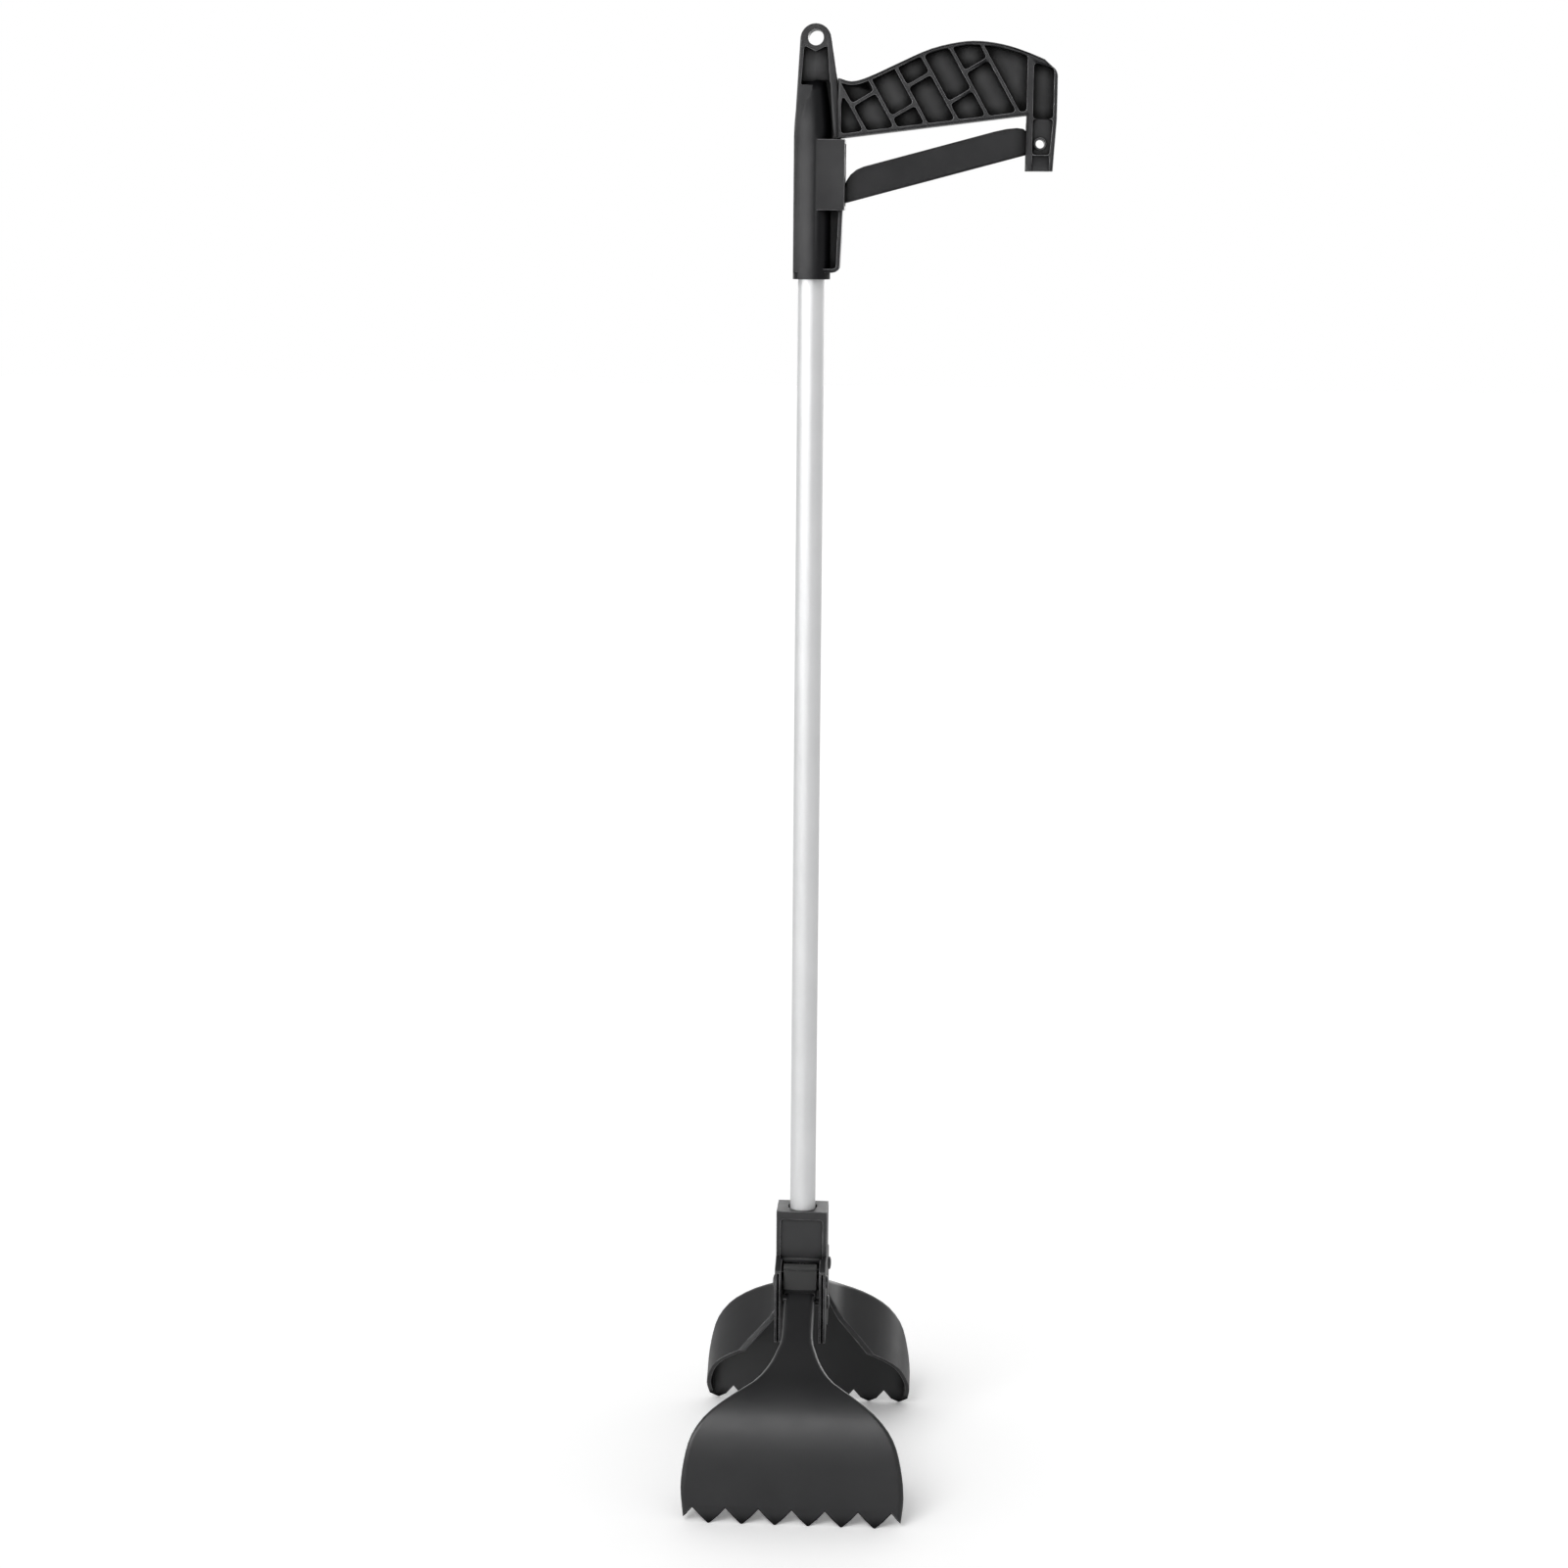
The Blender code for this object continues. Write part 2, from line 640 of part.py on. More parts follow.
def tooth_cutter(phase):
    """Everything below a line of teeth, whose valleys and blunt tips repeat at one pitch."""
    span = JAW_WIDTH / 2 + TOOTH_PITCH
    count = math.ceil(span / TOOTH_PITCH)
    line = []
    for index in range(-count, count + 1):
        tip = (index + phase) * TOOTH_PITCH
        line += [
            (tip - TOOTH_FLAT / 2, -JAW_LENGTH),
            (tip + TOOTH_FLAT / 2, -JAW_LENGTH),
            (tip + TOOTH_PITCH / 2, TOOTH_DEPTH - JAW_LENGTH),
        ]
    base = -JAW_LENGTH - 4 * OVERRUN
    outline = np.vstack((line, [(line[-1][0], base), (line[0][0], base)]))
    return prism("teeth", outline, -JAW_DEPTH, JAW_DEPTH, "Y")


def make_jaw(phase):
    shell = jaw_shell()
    wide = JAW_WIDTH / 2 + OVERRUN
    beyond = prism(
        "beyond",
        rectangle((TIP_INSET, -JAW_LENGTH - 4 * OVERRUN), (TIP_INSET + 2 * JAW_DEPTH, 0)),
        -wide, wide, "X",
    )
    additions, cuts = knuckle_pieces()
    cut(shell, beyond, tooth_cutter(phase))
    join(shell, *additions, solver="MANIFOLD")
    return cut(shell, *cuts, solver="MANIFOLD")


# Hub


def make_hub():
    """The block on the tube's end, with a cheek on each side that holds the jaw pins."""
    half_width, half_depth = HUB_WIDTH / 2, HUB_DEPTH / 2
    block = prism(
        "hub",
        rectangle((-half_width, HUB_BOTTOM_Z), (half_width, HUB_TOP_Z)),
        -half_depth, half_depth, "Y",
    )
    cheek = np.array([
        (-half_depth, HUB_BOTTOM_Z + CHEEK_CORNER),
        (-CHEEK_REACH, HUB_BOTTOM_Z - GAP),
        (-CHEEK_REACH, PIVOT_Z - CHEEK_DROP),
        (-half_depth, PIVOT_Z - CHEEK_DROP),
        (0, PIVOT_Z - CHEEK_DROP + CHEEK_ARCH_RISE),
    ])
    cheek = rounded(np.vstack((cheek, cheek[3::-1] * (-1, 1))), CHEEK_CORNER)
    pin_hole = JAW_PIN_DIAMETER / 2 + GAP
    ring = KNUCKLE_WIDTH / 2 + GAP
    slot = capsule(
        (0, CROSSHEAD_PIN_Z - GAP),
        (0, CROSSHEAD_PIN_Z + ROD_TRAVEL + GAP),
        CROSSHEAD_PIN_DIAMETER / 2 + GAP,
    )
    additions, cuts = [], []
    for side in (-1, 1):
        inner, outer = sorted((side * half_width, side * (half_width - CHEEK_THICKNESS)))
        additions.append(prism("cheek", cheek, inner, outer, "X"))
        for pivot_y in (-HALF_SPACING, HALF_SPACING):
            low, high = sorted((side * ring, side * (half_width - CHEEK_THICKNESS / 2)))
            boss = rod_profile(pin_hole + CHEEK_BOSS_WALL, low, high)
            additions.append(turned("boss", boss, (0, pivot_y, PIVOT_Z), "X", PIN_STEPS))
        cuts.append(prism("slot", slot, side * half_width - OVERRUN, side * half_width + OVERRUN, "X"))
        middle = side * (half_width - CHEEK_THICKNESS / 2)
        groove = rectangle(
            (middle - CHEEK_GROOVE / 2, PIVOT_Z - CHEEK_DROP - OVERRUN),
            (middle + CHEEK_GROOVE / 2, PIVOT_Z + CHEEK_GROOVE_RISE),
        )
        cuts.append(mirrored_pair("groove", groove, CHEEK_REACH - CHEEK_GROOVE_DEPTH, CHEEK_REACH + OVERRUN))
    for pivot_y in (-HALF_SPACING, HALF_SPACING):
        through = rod_profile(pin_hole, -half_width - OVERRUN, half_width + OVERRUN)
        cuts.append(turned("pin_hole", through, (0, pivot_y, PIVOT_Z), "X", PIN_STEPS))
    socket = TUBE_DIAMETER / 2 + GAP
    rod_hole = ROD_DIAMETER / 2 + 2 * GAP
    seat = TUBE_BOTTOM_Z - GAP
    cuts.append(turned("socket", [
        (0, HUB_BOTTOM_Z - OVERRUN), (rod_hole, HUB_BOTTOM_Z - OVERRUN), (rod_hole, seat), (socket, seat),
        (socket, HUB_TOP_Z - SOCKET_CHAMFER), (socket + SOCKET_CHAMFER, HUB_TOP_Z),
        (socket + SOCKET_CHAMFER, HUB_TOP_Z + OVERRUN), (0, HUB_TOP_Z + OVERRUN),
    ]))
    inset = rectangle(
        (PANEL_BORDER - half_width, HUB_BOTTOM_Z + PANEL_BORDER),
        (half_width - PANEL_BORDER, HUB_TOP_Z - 2 * PANEL_BORDER),
    )
    panel = rounded(inset, HUB_CORNER)
    cuts.append(mirrored_pair("panel", panel, half_depth - PANEL_DEPTH, half_depth + OVERRUN))
    cuts.append(turned(
        "screw_hole",
        [
            (0, 0), (SCREW_DIAMETER / 2 + GAP, 0),
            (SCREW_DIAMETER / 2 + GAP, half_depth - PANEL_DEPTH - SCREW_HEAD_THICKNESS),
            (SCREW_HEAD_DIAMETER / 2 + GAP, half_depth - PANEL_DEPTH - SCREW_HEAD_THICKNESS),
            (SCREW_HEAD_DIAMETER / 2 + GAP, half_depth + OVERRUN), (0, half_depth + OVERRUN),
        ],
        (0, 0, HUB_SCREW_Z), "Y", PIN_STEPS,
    ))
    join(block, *additions, solver="MANIFOLD")
    return cut(block, *cuts, solver="MANIFOLD")


# Handle


def grip_top():
    """The grip's upper edge from the body to the pillar, as points (x, z)."""
    shares = smooth_curve(GRIP_TOP_SHARES, 3 * len(GRIP_TOP_SHARES))
    return shares * (GRIP_REACH, GRIP_CREST) + (0, HANDLE_Z)


def grip_floor(x):
    """Height of the grip's straight lower edge."""
    slope = GRIP_BOTTOM_RISE / (GRIP_REACH - PILLAR_WIDTH - FLANGE_REACH)
    return HANDLE_Z + GRIP_BOTTOM + slope * (x - FLANGE_REACH)


def grip_outline():
    inner = GRIP_REACH - PILLAR_WIDTH
    root = FLANGE_REACH - RIM_THICKNESS
    top = grip_top()
    corner = top[-1, 1] - PILLAR_CORNER / 2
    centre = (GRIP_REACH - PILLAR_CORNER, corner - PILLAR_CORNER)
    end = arc(centre, PILLAR_CORNER, math.radians(60), 0, ARC_STEPS + 1)
    foot = HANDLE_Z + PILLAR_BOTTOM
    lower = [
        (GRIP_REACH, HANDLE_Z + PILLAR_STEP), (GRIP_REACH - PILLAR_TAPER, foot), (inner, foot),
        (inner, grip_floor(inner)), (root, grip_floor(root)),
    ]
    return np.vstack((top, end, lower))


def body_outline():
    """The flat body behind the barrel: a flange below, and the tongue with the hanging eye above."""
    eye = (EYE_X, HANDLE_Z + EYE_HEIGHT)
    half_barrel = BARREL_DIAMETER / 2 - 2 * GAP
    flange_foot = HANDLE_Z + FLANGE_BOTTOM
    foot = arc(
        (FLANGE_REACH - FLANGE_CORNER, flange_foot + FLANGE_CORNER), FLANGE_CORNER, -math.pi / 2, 0,
    )
    return np.vstack((
        [(-half_barrel, flange_foot)],
        foot,
        [(FLANGE_REACH + FLANGE_FLARE, HANDLE_Z + BOSS_BOTTOM)],
        [(FLANGE_REACH, HANDLE_Z + BOSS_BOTTOM + BOSS_HEIGHT)],
        [(TONGUE_REACH, HANDLE_Z + TONGUE_SHOULDER)],
        arc(eye, EYE_RADIUS, math.radians(8), math.radians(172), PIN_STEPS),
        [(-half_barrel, HANDLE_Z + BARREL_SHOULDER)],
    ))


def grip_cells():
    """The pockets between the diagonal ribs, each with a cross rib part-way up."""
    left, right = FLANGE_REACH, GRIP_REACH - PILLAR_WIDTH
    top = grip_top() - (0, RIM_THICKNESS)
    top = top[(top[:, 0] > left) & (top[:, 0] < right)]
    ends = np.interp((left, right), *(grip_top() - (0, RIM_THICKNESS)).T)
    field = np.vstack((
        [(right, grip_floor(right) + RIM_THICKNESS)],
        [(left, grip_floor(left) + RIM_THICKNESS), (left, ends[0])],
        top,
        [(right, ends[1])],
    ))
    rib = np.array((math.cos(RIB_SLOPE), -math.sin(RIB_SLOPE)))
    across = np.array((math.sin(RIB_SLOPE), math.cos(RIB_SLOPE)))
    cells = []
    for index in range(RIB_COUNT + 1):
        ahead = np.array((RIB_START + index * RIB_PITCH, HANDLE_Z + RIB_HEIGHT))
        behind = ahead - (RIB_PITCH, 0)
        cell = field
        if index < RIB_COUNT:
            cell = kept_side(cell, ahead - across * RIB_THICKNESS / 2, -across)
        if index > 0:
            cell = kept_side(cell, behind + across * RIB_THICKNESS / 2, across)
        if not 0 < index < RIB_COUNT:
            cells.append(cell)
            continue
        low, high = cell[:, 1].min(), cell[:, 1].max()
        middle = cell.mean(axis=0)
        level = low + CROSS_RIB_SHARES[index - 1] * (high - low)
        place = middle + rib * (level - middle[1]) / rib[1]
        for side in (-1, 1):
            cells.append(kept_side(cell, place + rib * side * RIB_THICKNESS / 2, rib * side))
    return [rounded(cell, CELL_CORNER) for cell in cells if len(cell) > 2]


def pillar_cuts():
    """The pillar's pockets, the slot that takes the trigger, and the pivot's hole."""
    inner, outer = GRIP_REACH - PILLAR_WIDTH + PILLAR_RIM, GRIP_REACH - RIM_THICKNESS
    half, web = GRIP_WIDTH / 2, WEB_THICKNESS / 2
    foot, step = HANDLE_Z + PILLAR_BOTTOM, HANDLE_Z + PILLAR_STEP
    crown = np.interp(inner, *grip_top().T) - 2 * RIM_THICKNESS
    shelf = crown - PILLAR_CORNER / 2
    upper = np.array([(inner, step), (outer, step), (outer, shelf), (inner, crown)])
    ledge = HANDLE_Z + PILLAR_LEDGE
    taper = PILLAR_TAPER
    lower = np.array([(inner, ledge), (outer - taper, ledge), (outer, step), (inner, step)])
    at_foot = rectangle((inner, foot - OVERRUN), (outer - taper, ledge - GAP))
    slot_half = TRIGGER_WIDTH / 2 + TRIGGER_SIDE_GAP
    slot = rectangle(
        (GRIP_REACH - PILLAR_WIDTH - OVERRUN, foot - OVERRUN),
        (GRIP_REACH - taper - PILLAR_OUTER_WALL, step - RIM_THICKNESS),
    )
    hole = rod_profile(TRIGGER_PIVOT_OUTER / 2 + GAP, -half - OVERRUN, half + OVERRUN)
    return [
        mirrored_pair("upper_recess", rounded(upper, CELL_CORNER), web, half + OVERRUN),
        mirrored_pair("lower_recess", rounded(lower, CELL_CORNER), half - PILLAR_RECESS, half + OVERRUN),
        mirrored_pair("foot_recess", at_foot, half - PILLAR_RECESS / 2, half + OVERRUN),
        prism("trigger_slot", slot, -slot_half, slot_half, "Y"),
        turned("pivot_hole", hole, (TRIGGER_ARM, 0, TRIGGER_PIVOT_Z), "Y", PIN_STEPS),
    ]


def barrel_profile():
    """Half-profile of the barrel: straight, then drawn in to a blunt nose."""
    radius, shoulder, top = BARREL_DIAMETER / 2, HANDLE_Z + BARREL_SHOULDER, HANDLE_Z + BARREL_HEIGHT
    drop = radius - NOSE_DIAMETER / 2
    curve = [
        (radius - drop * (1 - math.cos(share * math.pi / 2)), shoulder + (top - shoulder) * share)
        for share in np.linspace(0, 1, NOSE_STEPS)
    ]
    return [(0, HANDLE_Z), (radius, HANDLE_Z)] + curve + [(0, top)]


def make_handle():
    """The moulded handle: barrel, flange, tongue, trigger boss, ribbed grip and pillar in one piece."""
    grip_half, web = GRIP_WIDTH / 2, WEB_THICKNESS / 2
    barrel = BARREL_DIAMETER / 2
    grip = prism("grip", grip_outline(), -grip_half, grip_half, "Y", GRIP_EDGE)
    body = prism("body", body_outline(), -FLANGE_WIDTH / 2, FLANGE_WIDTH / 2, "Y", GRIP_EDGE / 2)
    boss_low, boss_high = HANDLE_Z + BOSS_BOTTOM, HANDLE_Z + BOSS_BOTTOM + BOSS_HEIGHT
    boss_half = BOSS_WIDTH / 2
    boss = prism("boss", rectangle((0, boss_low), (BOSS_REACH, boss_high)), -boss_half, boss_half, "Y")
    rim_x = FLANGE_REACH - RIM_THICKNESS
    pocket_low = HANDLE_Z + FLANGE_BOTTOM + RIM_THICKNESS
    lower = np.array([(0, pocket_low), (rim_x, pocket_low), (rim_x + FLANGE_FLARE, boss_low), (0, boss_low)])
    upper = np.array([
        (0, boss_high), (rim_x - RIM_THICKNESS, boss_high),
        (TONGUE_REACH - 2 * RIM_THICKNESS, HANDLE_Z + TONGUE_SHOULDER),
        (0, HANDLE_Z + TONGUE_SHOULDER),
    ])
    eye = np.array((EYE_X, HANDLE_Z + EYE_HEIGHT))
    ring = EYE_HOLE_DIAMETER / 2 + RIM_THICKNESS
    recess_foot = HANDLE_Z + BARREL_HEIGHT - RIM_THICKNESS
    tongue = rounded(np.array([
        (-EYE_RADIUS / 2 - RIM_THICKNESS, recess_foot), (TONGUE_REACH - 2 * RIM_THICKNESS, recess_foot),
        (EYE_X + ring, eye[1] - ring / 2), (EYE_X, eye[1] - ring), (EYE_X - ring, eye[1] - ring / 2),
    ]), CELL_CORNER / 2)
    flange_half = FLANGE_WIDTH / 2
    cells = grip_cells()
    front = [prism("cell", cell, -grip_half - OVERRUN, -web, "Y") for cell in cells]
    back = [prism("cell", cell, web, grip_half + OVERRUN, "Y") for cell in cells]
    pockets = [
        mirrored_pair("lower_pocket", rounded(lower, CELL_CORNER), web, flange_half + OVERRUN),
        mirrored_pair("upper_pocket", rounded(upper, CELL_CORNER), web, flange_half + OVERRUN),
        mirrored_pair("tongue_recess", tongue, TONGUE_THICKNESS / 2, flange_half + OVERRUN),
    ]
    socket, cavity = TUBE_DIAMETER / 2 + GAP, CAVITY_DIAMETER / 2
    seat, roof = TUBE_TOP_Z + BUSH_FLANGE + GAP, HANDLE_Z + CAVITY_HEIGHT
    bore = turned("bore", [
        (0, HANDLE_Z - OVERRUN), (socket + SOCKET_CHAMFER / 2, HANDLE_Z - OVERRUN),
        (socket + SOCKET_CHAMFER / 2, HANDLE_Z), (socket, HANDLE_Z + SOCKET_CHAMFER), (socket, seat),
        (cavity, seat), (cavity, roof - cavity / 2), (cavity / 2, roof), (0, roof),
    ])
    slot_half = TRIGGER_WIDTH / 2 + TRIGGER_SIDE_GAP
    slot = prism(
        "trigger_slot",
        rectangle((0, boss_low + BOSS_WALL), (BOSS_REACH + OVERRUN, boss_high - BOSS_WALL)),
        -slot_half, slot_half, "Y",
    )
    eye_hole = turned(
        "eye_hole", rod_profile(EYE_HOLE_DIAMETER / 2, -grip_half, grip_half),
        (EYE_X, 0, eye[1] + EYE_HOLE_RISE), "Y", ROUND_STEPS,
    )
    screw_hole = turned("screw_hole", [
        (0, 0), (SCREW_DIAMETER / 2 + GAP, 0), (SCREW_DIAMETER / 2 + GAP, barrel - SCREW_HEAD_THICKNESS),
        (SCREW_HEAD_DIAMETER / 2 + GAP, barrel - SCREW_HEAD_THICKNESS),
        (SCREW_HEAD_DIAMETER / 2 + GAP, barrel + OVERRUN), (0, barrel + OVERRUN),
    ], (0, 0, HANDLE_SCREW_Z), "Y", PIN_STEPS)
    cut(body, *pockets, solver="MANIFOLD")
    cut(grip, merged("cells", front + back), *pillar_cuts(), solver="MANIFOLD")
    join(body, turned("barrel", barrel_profile()), boss, grip, solver="MANIFOLD")
    return cut(body, bore, slot, eye_hole, screw_hole, solver="MANIFOLD")


# Trigger


def trigger_hub_radius():
    return TRIGGER_PIVOT_OUTER / 2 + GAP + TRIGGER_HUB_WALL


def trigger_foot(x):
    """Height of the trigger's straight lower edge."""
    reach = TRIGGER_ARM - x
    return TRIGGER_PIVOT_Z - TRIGGER_FOOT_DROP - reach * math.tan(TRIGGER_SLOPE)


def tail_pin_z():
    """Rest height of the pin that joins the rod's clevis to the trigger's tail."""
    return trigger_foot(0) + TRIGGER_HEIGHT / 2


def tail_path():
    """Where the clevis pin lies as the trigger turns, seen from the turning trigger."""
    share = np.linspace(0, 1, CAM_STEPS)
    turn = TRIGGER_ANGLE * share
    x, z = -TRIGGER_ARM, tail_pin_z() - TRIGGER_PIVOT_Z + ROD_TRAVEL * share
    return np.column_stack((
        TRIGGER_ARM + x * np.cos(turn) - z * np.sin(turn),
        TRIGGER_PIVOT_Z + x * np.sin(turn) + z * np.cos(turn),
    ))


def turn_down(end, inwards, shares):
    """Points of the trigger's top where it turns down, from low at one end to full height."""
    drop, reach = (1 - shares[0]) * TRIGGER_HEIGHT, shares[1] * TRIGGER_HEIGHT
    points = []
    for angle in np.linspace(0, math.pi / 2, ARC_STEPS + 1):
        x = end + inwards * reach * (1 - math.cos(angle))
        points.append((x, trigger_foot(x) + TRIGGER_HEIGHT - drop * (1 - math.sin(angle))))
    return points


def make_trigger():
    """A lever moulded as a trough, open towards the grip, with a hub at one end and a thin tail."""
    half = TRIGGER_WIDTH / 2
    hub_radius = trigger_hub_radius()
    start = CLEVIS_DIAMETER / 2 + TRIGGER_TAIL_RADIUS / 2 + 3 * GAP
    finish_x = GRIP_REACH - PILLAR_WIDTH
    top = TRIGGER_HEIGHT
    inner_foot = trigger_foot(BOSS_REACH)
    lever = np.array([
        (start, inner_foot),
        (BOSS_REACH, inner_foot),
        (TRIGGER_ARM, trigger_foot(TRIGGER_ARM)),
        (TRIGGER_ARM, TRIGGER_PIVOT_Z + hub_radius - GAP),
        *turn_down(finish_x, -1, TRIGGER_END_SHARES[1]),
        *turn_down(BOSS_REACH, 1, TRIGGER_END_SHARES[0])[::-1],
        (start, inner_foot + TRIGGER_END_SHARES[0][0] * top),
    ])
    beam = prism("lever", rounded(lever, TRIGGER_EDGE), -half, half, "Y", TRIGGER_EDGE / 2)
    pivot_place = (TRIGGER_ARM, 0, TRIGGER_PIVOT_Z)
    hub = turned("hub", rod_profile(hub_radius, -half, half), pivot_place, "Y", PIN_STEPS)
    pin_z = tail_pin_z()
    tail_half = TRIGGER_TAIL_THICKNESS / 2
    path = tail_path()
    slot_radius = CLEVIS_PIN_DIAMETER / 2 + GAP
    root = [(start + top / 3, trigger_foot(start + top / 3) + TRIGGER_FLOOR)]
    root += [(start + top / 3, pin_z + TRIGGER_TAIL_RADIUS)]
    ends = [circle(point, TRIGGER_TAIL_RADIUS, PIN_STEPS) for point in (path[0], path[-1])]
    tail = prism("tail", hull(np.vstack(ends + [root])), -tail_half, tail_half, "Y")
    trough_start, trough_end = start + 2 * TRIGGER_WALL, TRIGGER_ARM - hub_radius - TRIGGER_WALL
    length = (trough_end - trough_start - TRIGGER_WALL * (TRIGGER_RIBS - 1)) / TRIGGER_RIBS
    trough = []
    for index in range(TRIGGER_RIBS):
        near = trough_start + index * (length + TRIGGER_WALL)
        far = near + length
        cell = np.array([
            (near, trigger_foot(near) + TRIGGER_FLOOR), (far, trigger_foot(far) + TRIGGER_FLOOR),
            (far, trigger_foot(far) + top + OVERRUN), (near, trigger_foot(near) + top + OVERRUN),
        ])
        trough.append(prism("trough", cell, TRIGGER_WALL - half, half - TRIGGER_WALL, "Y"))
    pivot = rod_profile(TRIGGER_PIVOT_OUTER / 2 + GAP, -half - OVERRUN, half + OVERRUN)
    slot = prism("tail_slot", capsule(path[0], path[-1], slot_radius), -half, half, "Y")
    join(beam, hub, tail, solver="MANIFOLD")
    return cut(
        beam, merged("troughs", trough), slot,
        turned("pivot", pivot, pivot_place, "Y", PIN_STEPS), solver="MANIFOLD",
    )


# Tube, rod and fittings


def make_tube():
    radius = TUBE_DIAMETER / 2
    tube = turned("tube", ring_profile(radius - TUBE_WALL, radius, TUBE_BOTTOM_Z, TUBE_TOP_Z))
    hole = SCREW_DIAMETER / 2 + GAP
    for height in (HANDLE_SCREW_Z, HUB_SCREW_Z):
        drill = rod_profile(hole, 0, radius + OVERRUN)
        cut(tube, turned("screw_hole", drill, (0, 0, height), "Y", PIN_STEPS))
    return tube


def hexagon_nut(name, low):
    """A nut on the rod, with its corners rounded off as on a real one."""
    corner = NUT_WIDTH / 2 / math.cos(math.pi / 6)
    outline = circle((0, 0), corner, 6)
    nut = prism(name, outline, low, low + NUT_THICKNESS, "Z", GAP)
    hole = rod_profile(ROD_DIAMETER / 2 + GAP, low - OVERRUN, low + NUT_THICKNESS + OVERRUN)
    return cut(nut, turned("thread", hole, steps=PIN_STEPS))


def make_clevis():
    """The fork on the rod's upper end, which the trigger's tail works."""
    radius = CLEVIS_DIAMETER / 2
    pin_z = tail_pin_z()
    low, high = clevis_low(), pin_z + CLEVIS_ABOVE_PIN
    body = turned("clevis", rod_profile(radius, low, high, ROD_DIAMETER / 4))
    gap_half = TRIGGER_TAIL_THICKNESS / 2 + GAP
    fork = rectangle((-radius - OVERRUN, fork_floor()), (radius + OVERRUN, high + OVERRUN))
    hole = rod_profile(CLEVIS_PIN_DIAMETER / 2 + GAP, -radius - OVERRUN, radius + OVERRUN)
    thread = rod_profile(ROD_DIAMETER / 2 + GAP, low - OVERRUN, low + clevis_thread())
    return cut(
        body,
        prism("fork", fork, -gap_half, gap_half, "Y"),
        turned("pin_hole", hole, (0, 0, pin_z), "Y", PIN_STEPS),
        turned("thread", thread, steps=PIN_STEPS),
    )


def fork_floor():
    return tail_pin_z() - TRIGGER_TAIL_RADIUS - ROD_DIAMETER / 4


def clevis_low():
    """The clevis's foot, so that its lock nut clears the upper bush at rest."""
    return TUBE_TOP_Z + BUSH_FLANGE + CLEVIS_CLEARANCE + NUT_THICKNESS + GAP


def clevis_thread():
    return THREAD_SHARE * (fork_floor() - clevis_low())


def crosshead_top():
    return CROSSHEAD_PIN_Z + CROSSHEAD_ABOVE_PIN


def make_crosshead():
    """The block that the rod lifts, with the long pin's hole across it."""
    half, depth = CROSSHEAD_WIDTH / 2, CROSSHEAD_DEPTH / 2
    low, high = CROSSHEAD_PIN_Z - CROSSHEAD_BELOW_PIN, crosshead_top()
    block = prism("crosshead", rounded(rectangle((-depth, low), (depth, high)), ARM_WALL), -half, half, "X")
    hole = rod_profile(CROSSHEAD_PIN_DIAMETER / 2 + GAP, -half - OVERRUN, half + OVERRUN)
    thread = rod_profile(ROD_DIAMETER / 2 + GAP, high - THREAD_DEPTH, high + OVERRUN)
    return cut(
        block,
        turned("pin_hole", hole, (0, 0, CROSSHEAD_PIN_Z), "X", PIN_STEPS),
        turned("thread", thread, steps=PIN_STEPS),
    )


def spring_top():
    return TUBE_TOP_Z - BUSH_LENGTH - GAP


def rod_groove():
    """The rod's groove for the clip under the spring's washer, as (low, high)."""
    low = spring_top() - SPRING_LENGTH - WASHER_THICKNESS - 2 * GAP - CLIP_THICKNESS - GAP
    return low, low + CLIP_THICKNESS + GAP


def make_rod():
    radius = ROD_DIAMETER / 2
    low, high = crosshead_top() - THREAD_DEPTH + GAP, clevis_low() + clevis_thread() - GAP
    groove_low, groove_high = rod_groove()
    waist = radius - CLIP_GROOVE
    return turned("rod", [
        (0, low), (radius - CLIP_GROOVE, low), (radius, low + CLIP_GROOVE),
        (radius, groove_low), (waist, groove_low), (waist, groove_high), (radius, groove_high),
        (radius, high - CLIP_GROOVE), (radius - CLIP_GROOVE, high), (0, high),
    ], steps=PIN_STEPS)


def make_clip():
    """The snap clip in the rod's groove: an open ring."""
    low = rod_groove()[0] + GAP / 2
    inner, outer = ROD_DIAMETER / 2 - CLIP_GROOVE + GAP / 2, ROD_DIAMETER / 2 + CLIP_RIM
    mouth = math.radians(50)
    outline = np.vstack((
        arc((0, 0), outer, mouth, 2 * math.pi - mouth, PIN_STEPS),
        arc((0, 0), inner, 2 * math.pi - mouth, mouth, PIN_STEPS),
    ))
    return prism("clip", outline, low, low + CLIP_THICKNESS, "Z")


def make_washer():
    low = rod_groove()[1] + GAP
    return turned("washer", ring_profile(
        ROD_DIAMETER / 2 + GAP, SPRING_DIAMETER / 2 + GAP, low, low + WASHER_THICKNESS,
    ), steps=PIN_STEPS)


def spring_points():
    """The spring's centre line: a helix with its wire's radius clear of both seats."""
    radius = (SPRING_DIAMETER - SPRING_WIRE) / 2
    low = spring_top() - SPRING_LENGTH + SPRING_WIRE / 2 + GAP
    high = spring_top() - SPRING_WIRE / 2 - GAP
    share = np.linspace(0, 1, SPRING_TURNS * SPRING_POINTS_PER_TURN + 1)
    turn = 2 * math.pi * SPRING_TURNS * share
    return np.column_stack((radius * np.cos(turn), radius * np.sin(turn), low + (high - low) * share))


def least_gap_to_itself(points, wire):
    """The least space between two stretches of the wire that are over half a turn apart."""
    least = math.inf
    for index in range(len(points) - SPRING_POINTS_PER_TURN // 2):
        ahead = points[index + SPRING_POINTS_PER_TURN // 2 + 1:]
        if len(ahead):
            least = min(least, np.linalg.norm(ahead - points[index], axis=1).min())
    return least - wire


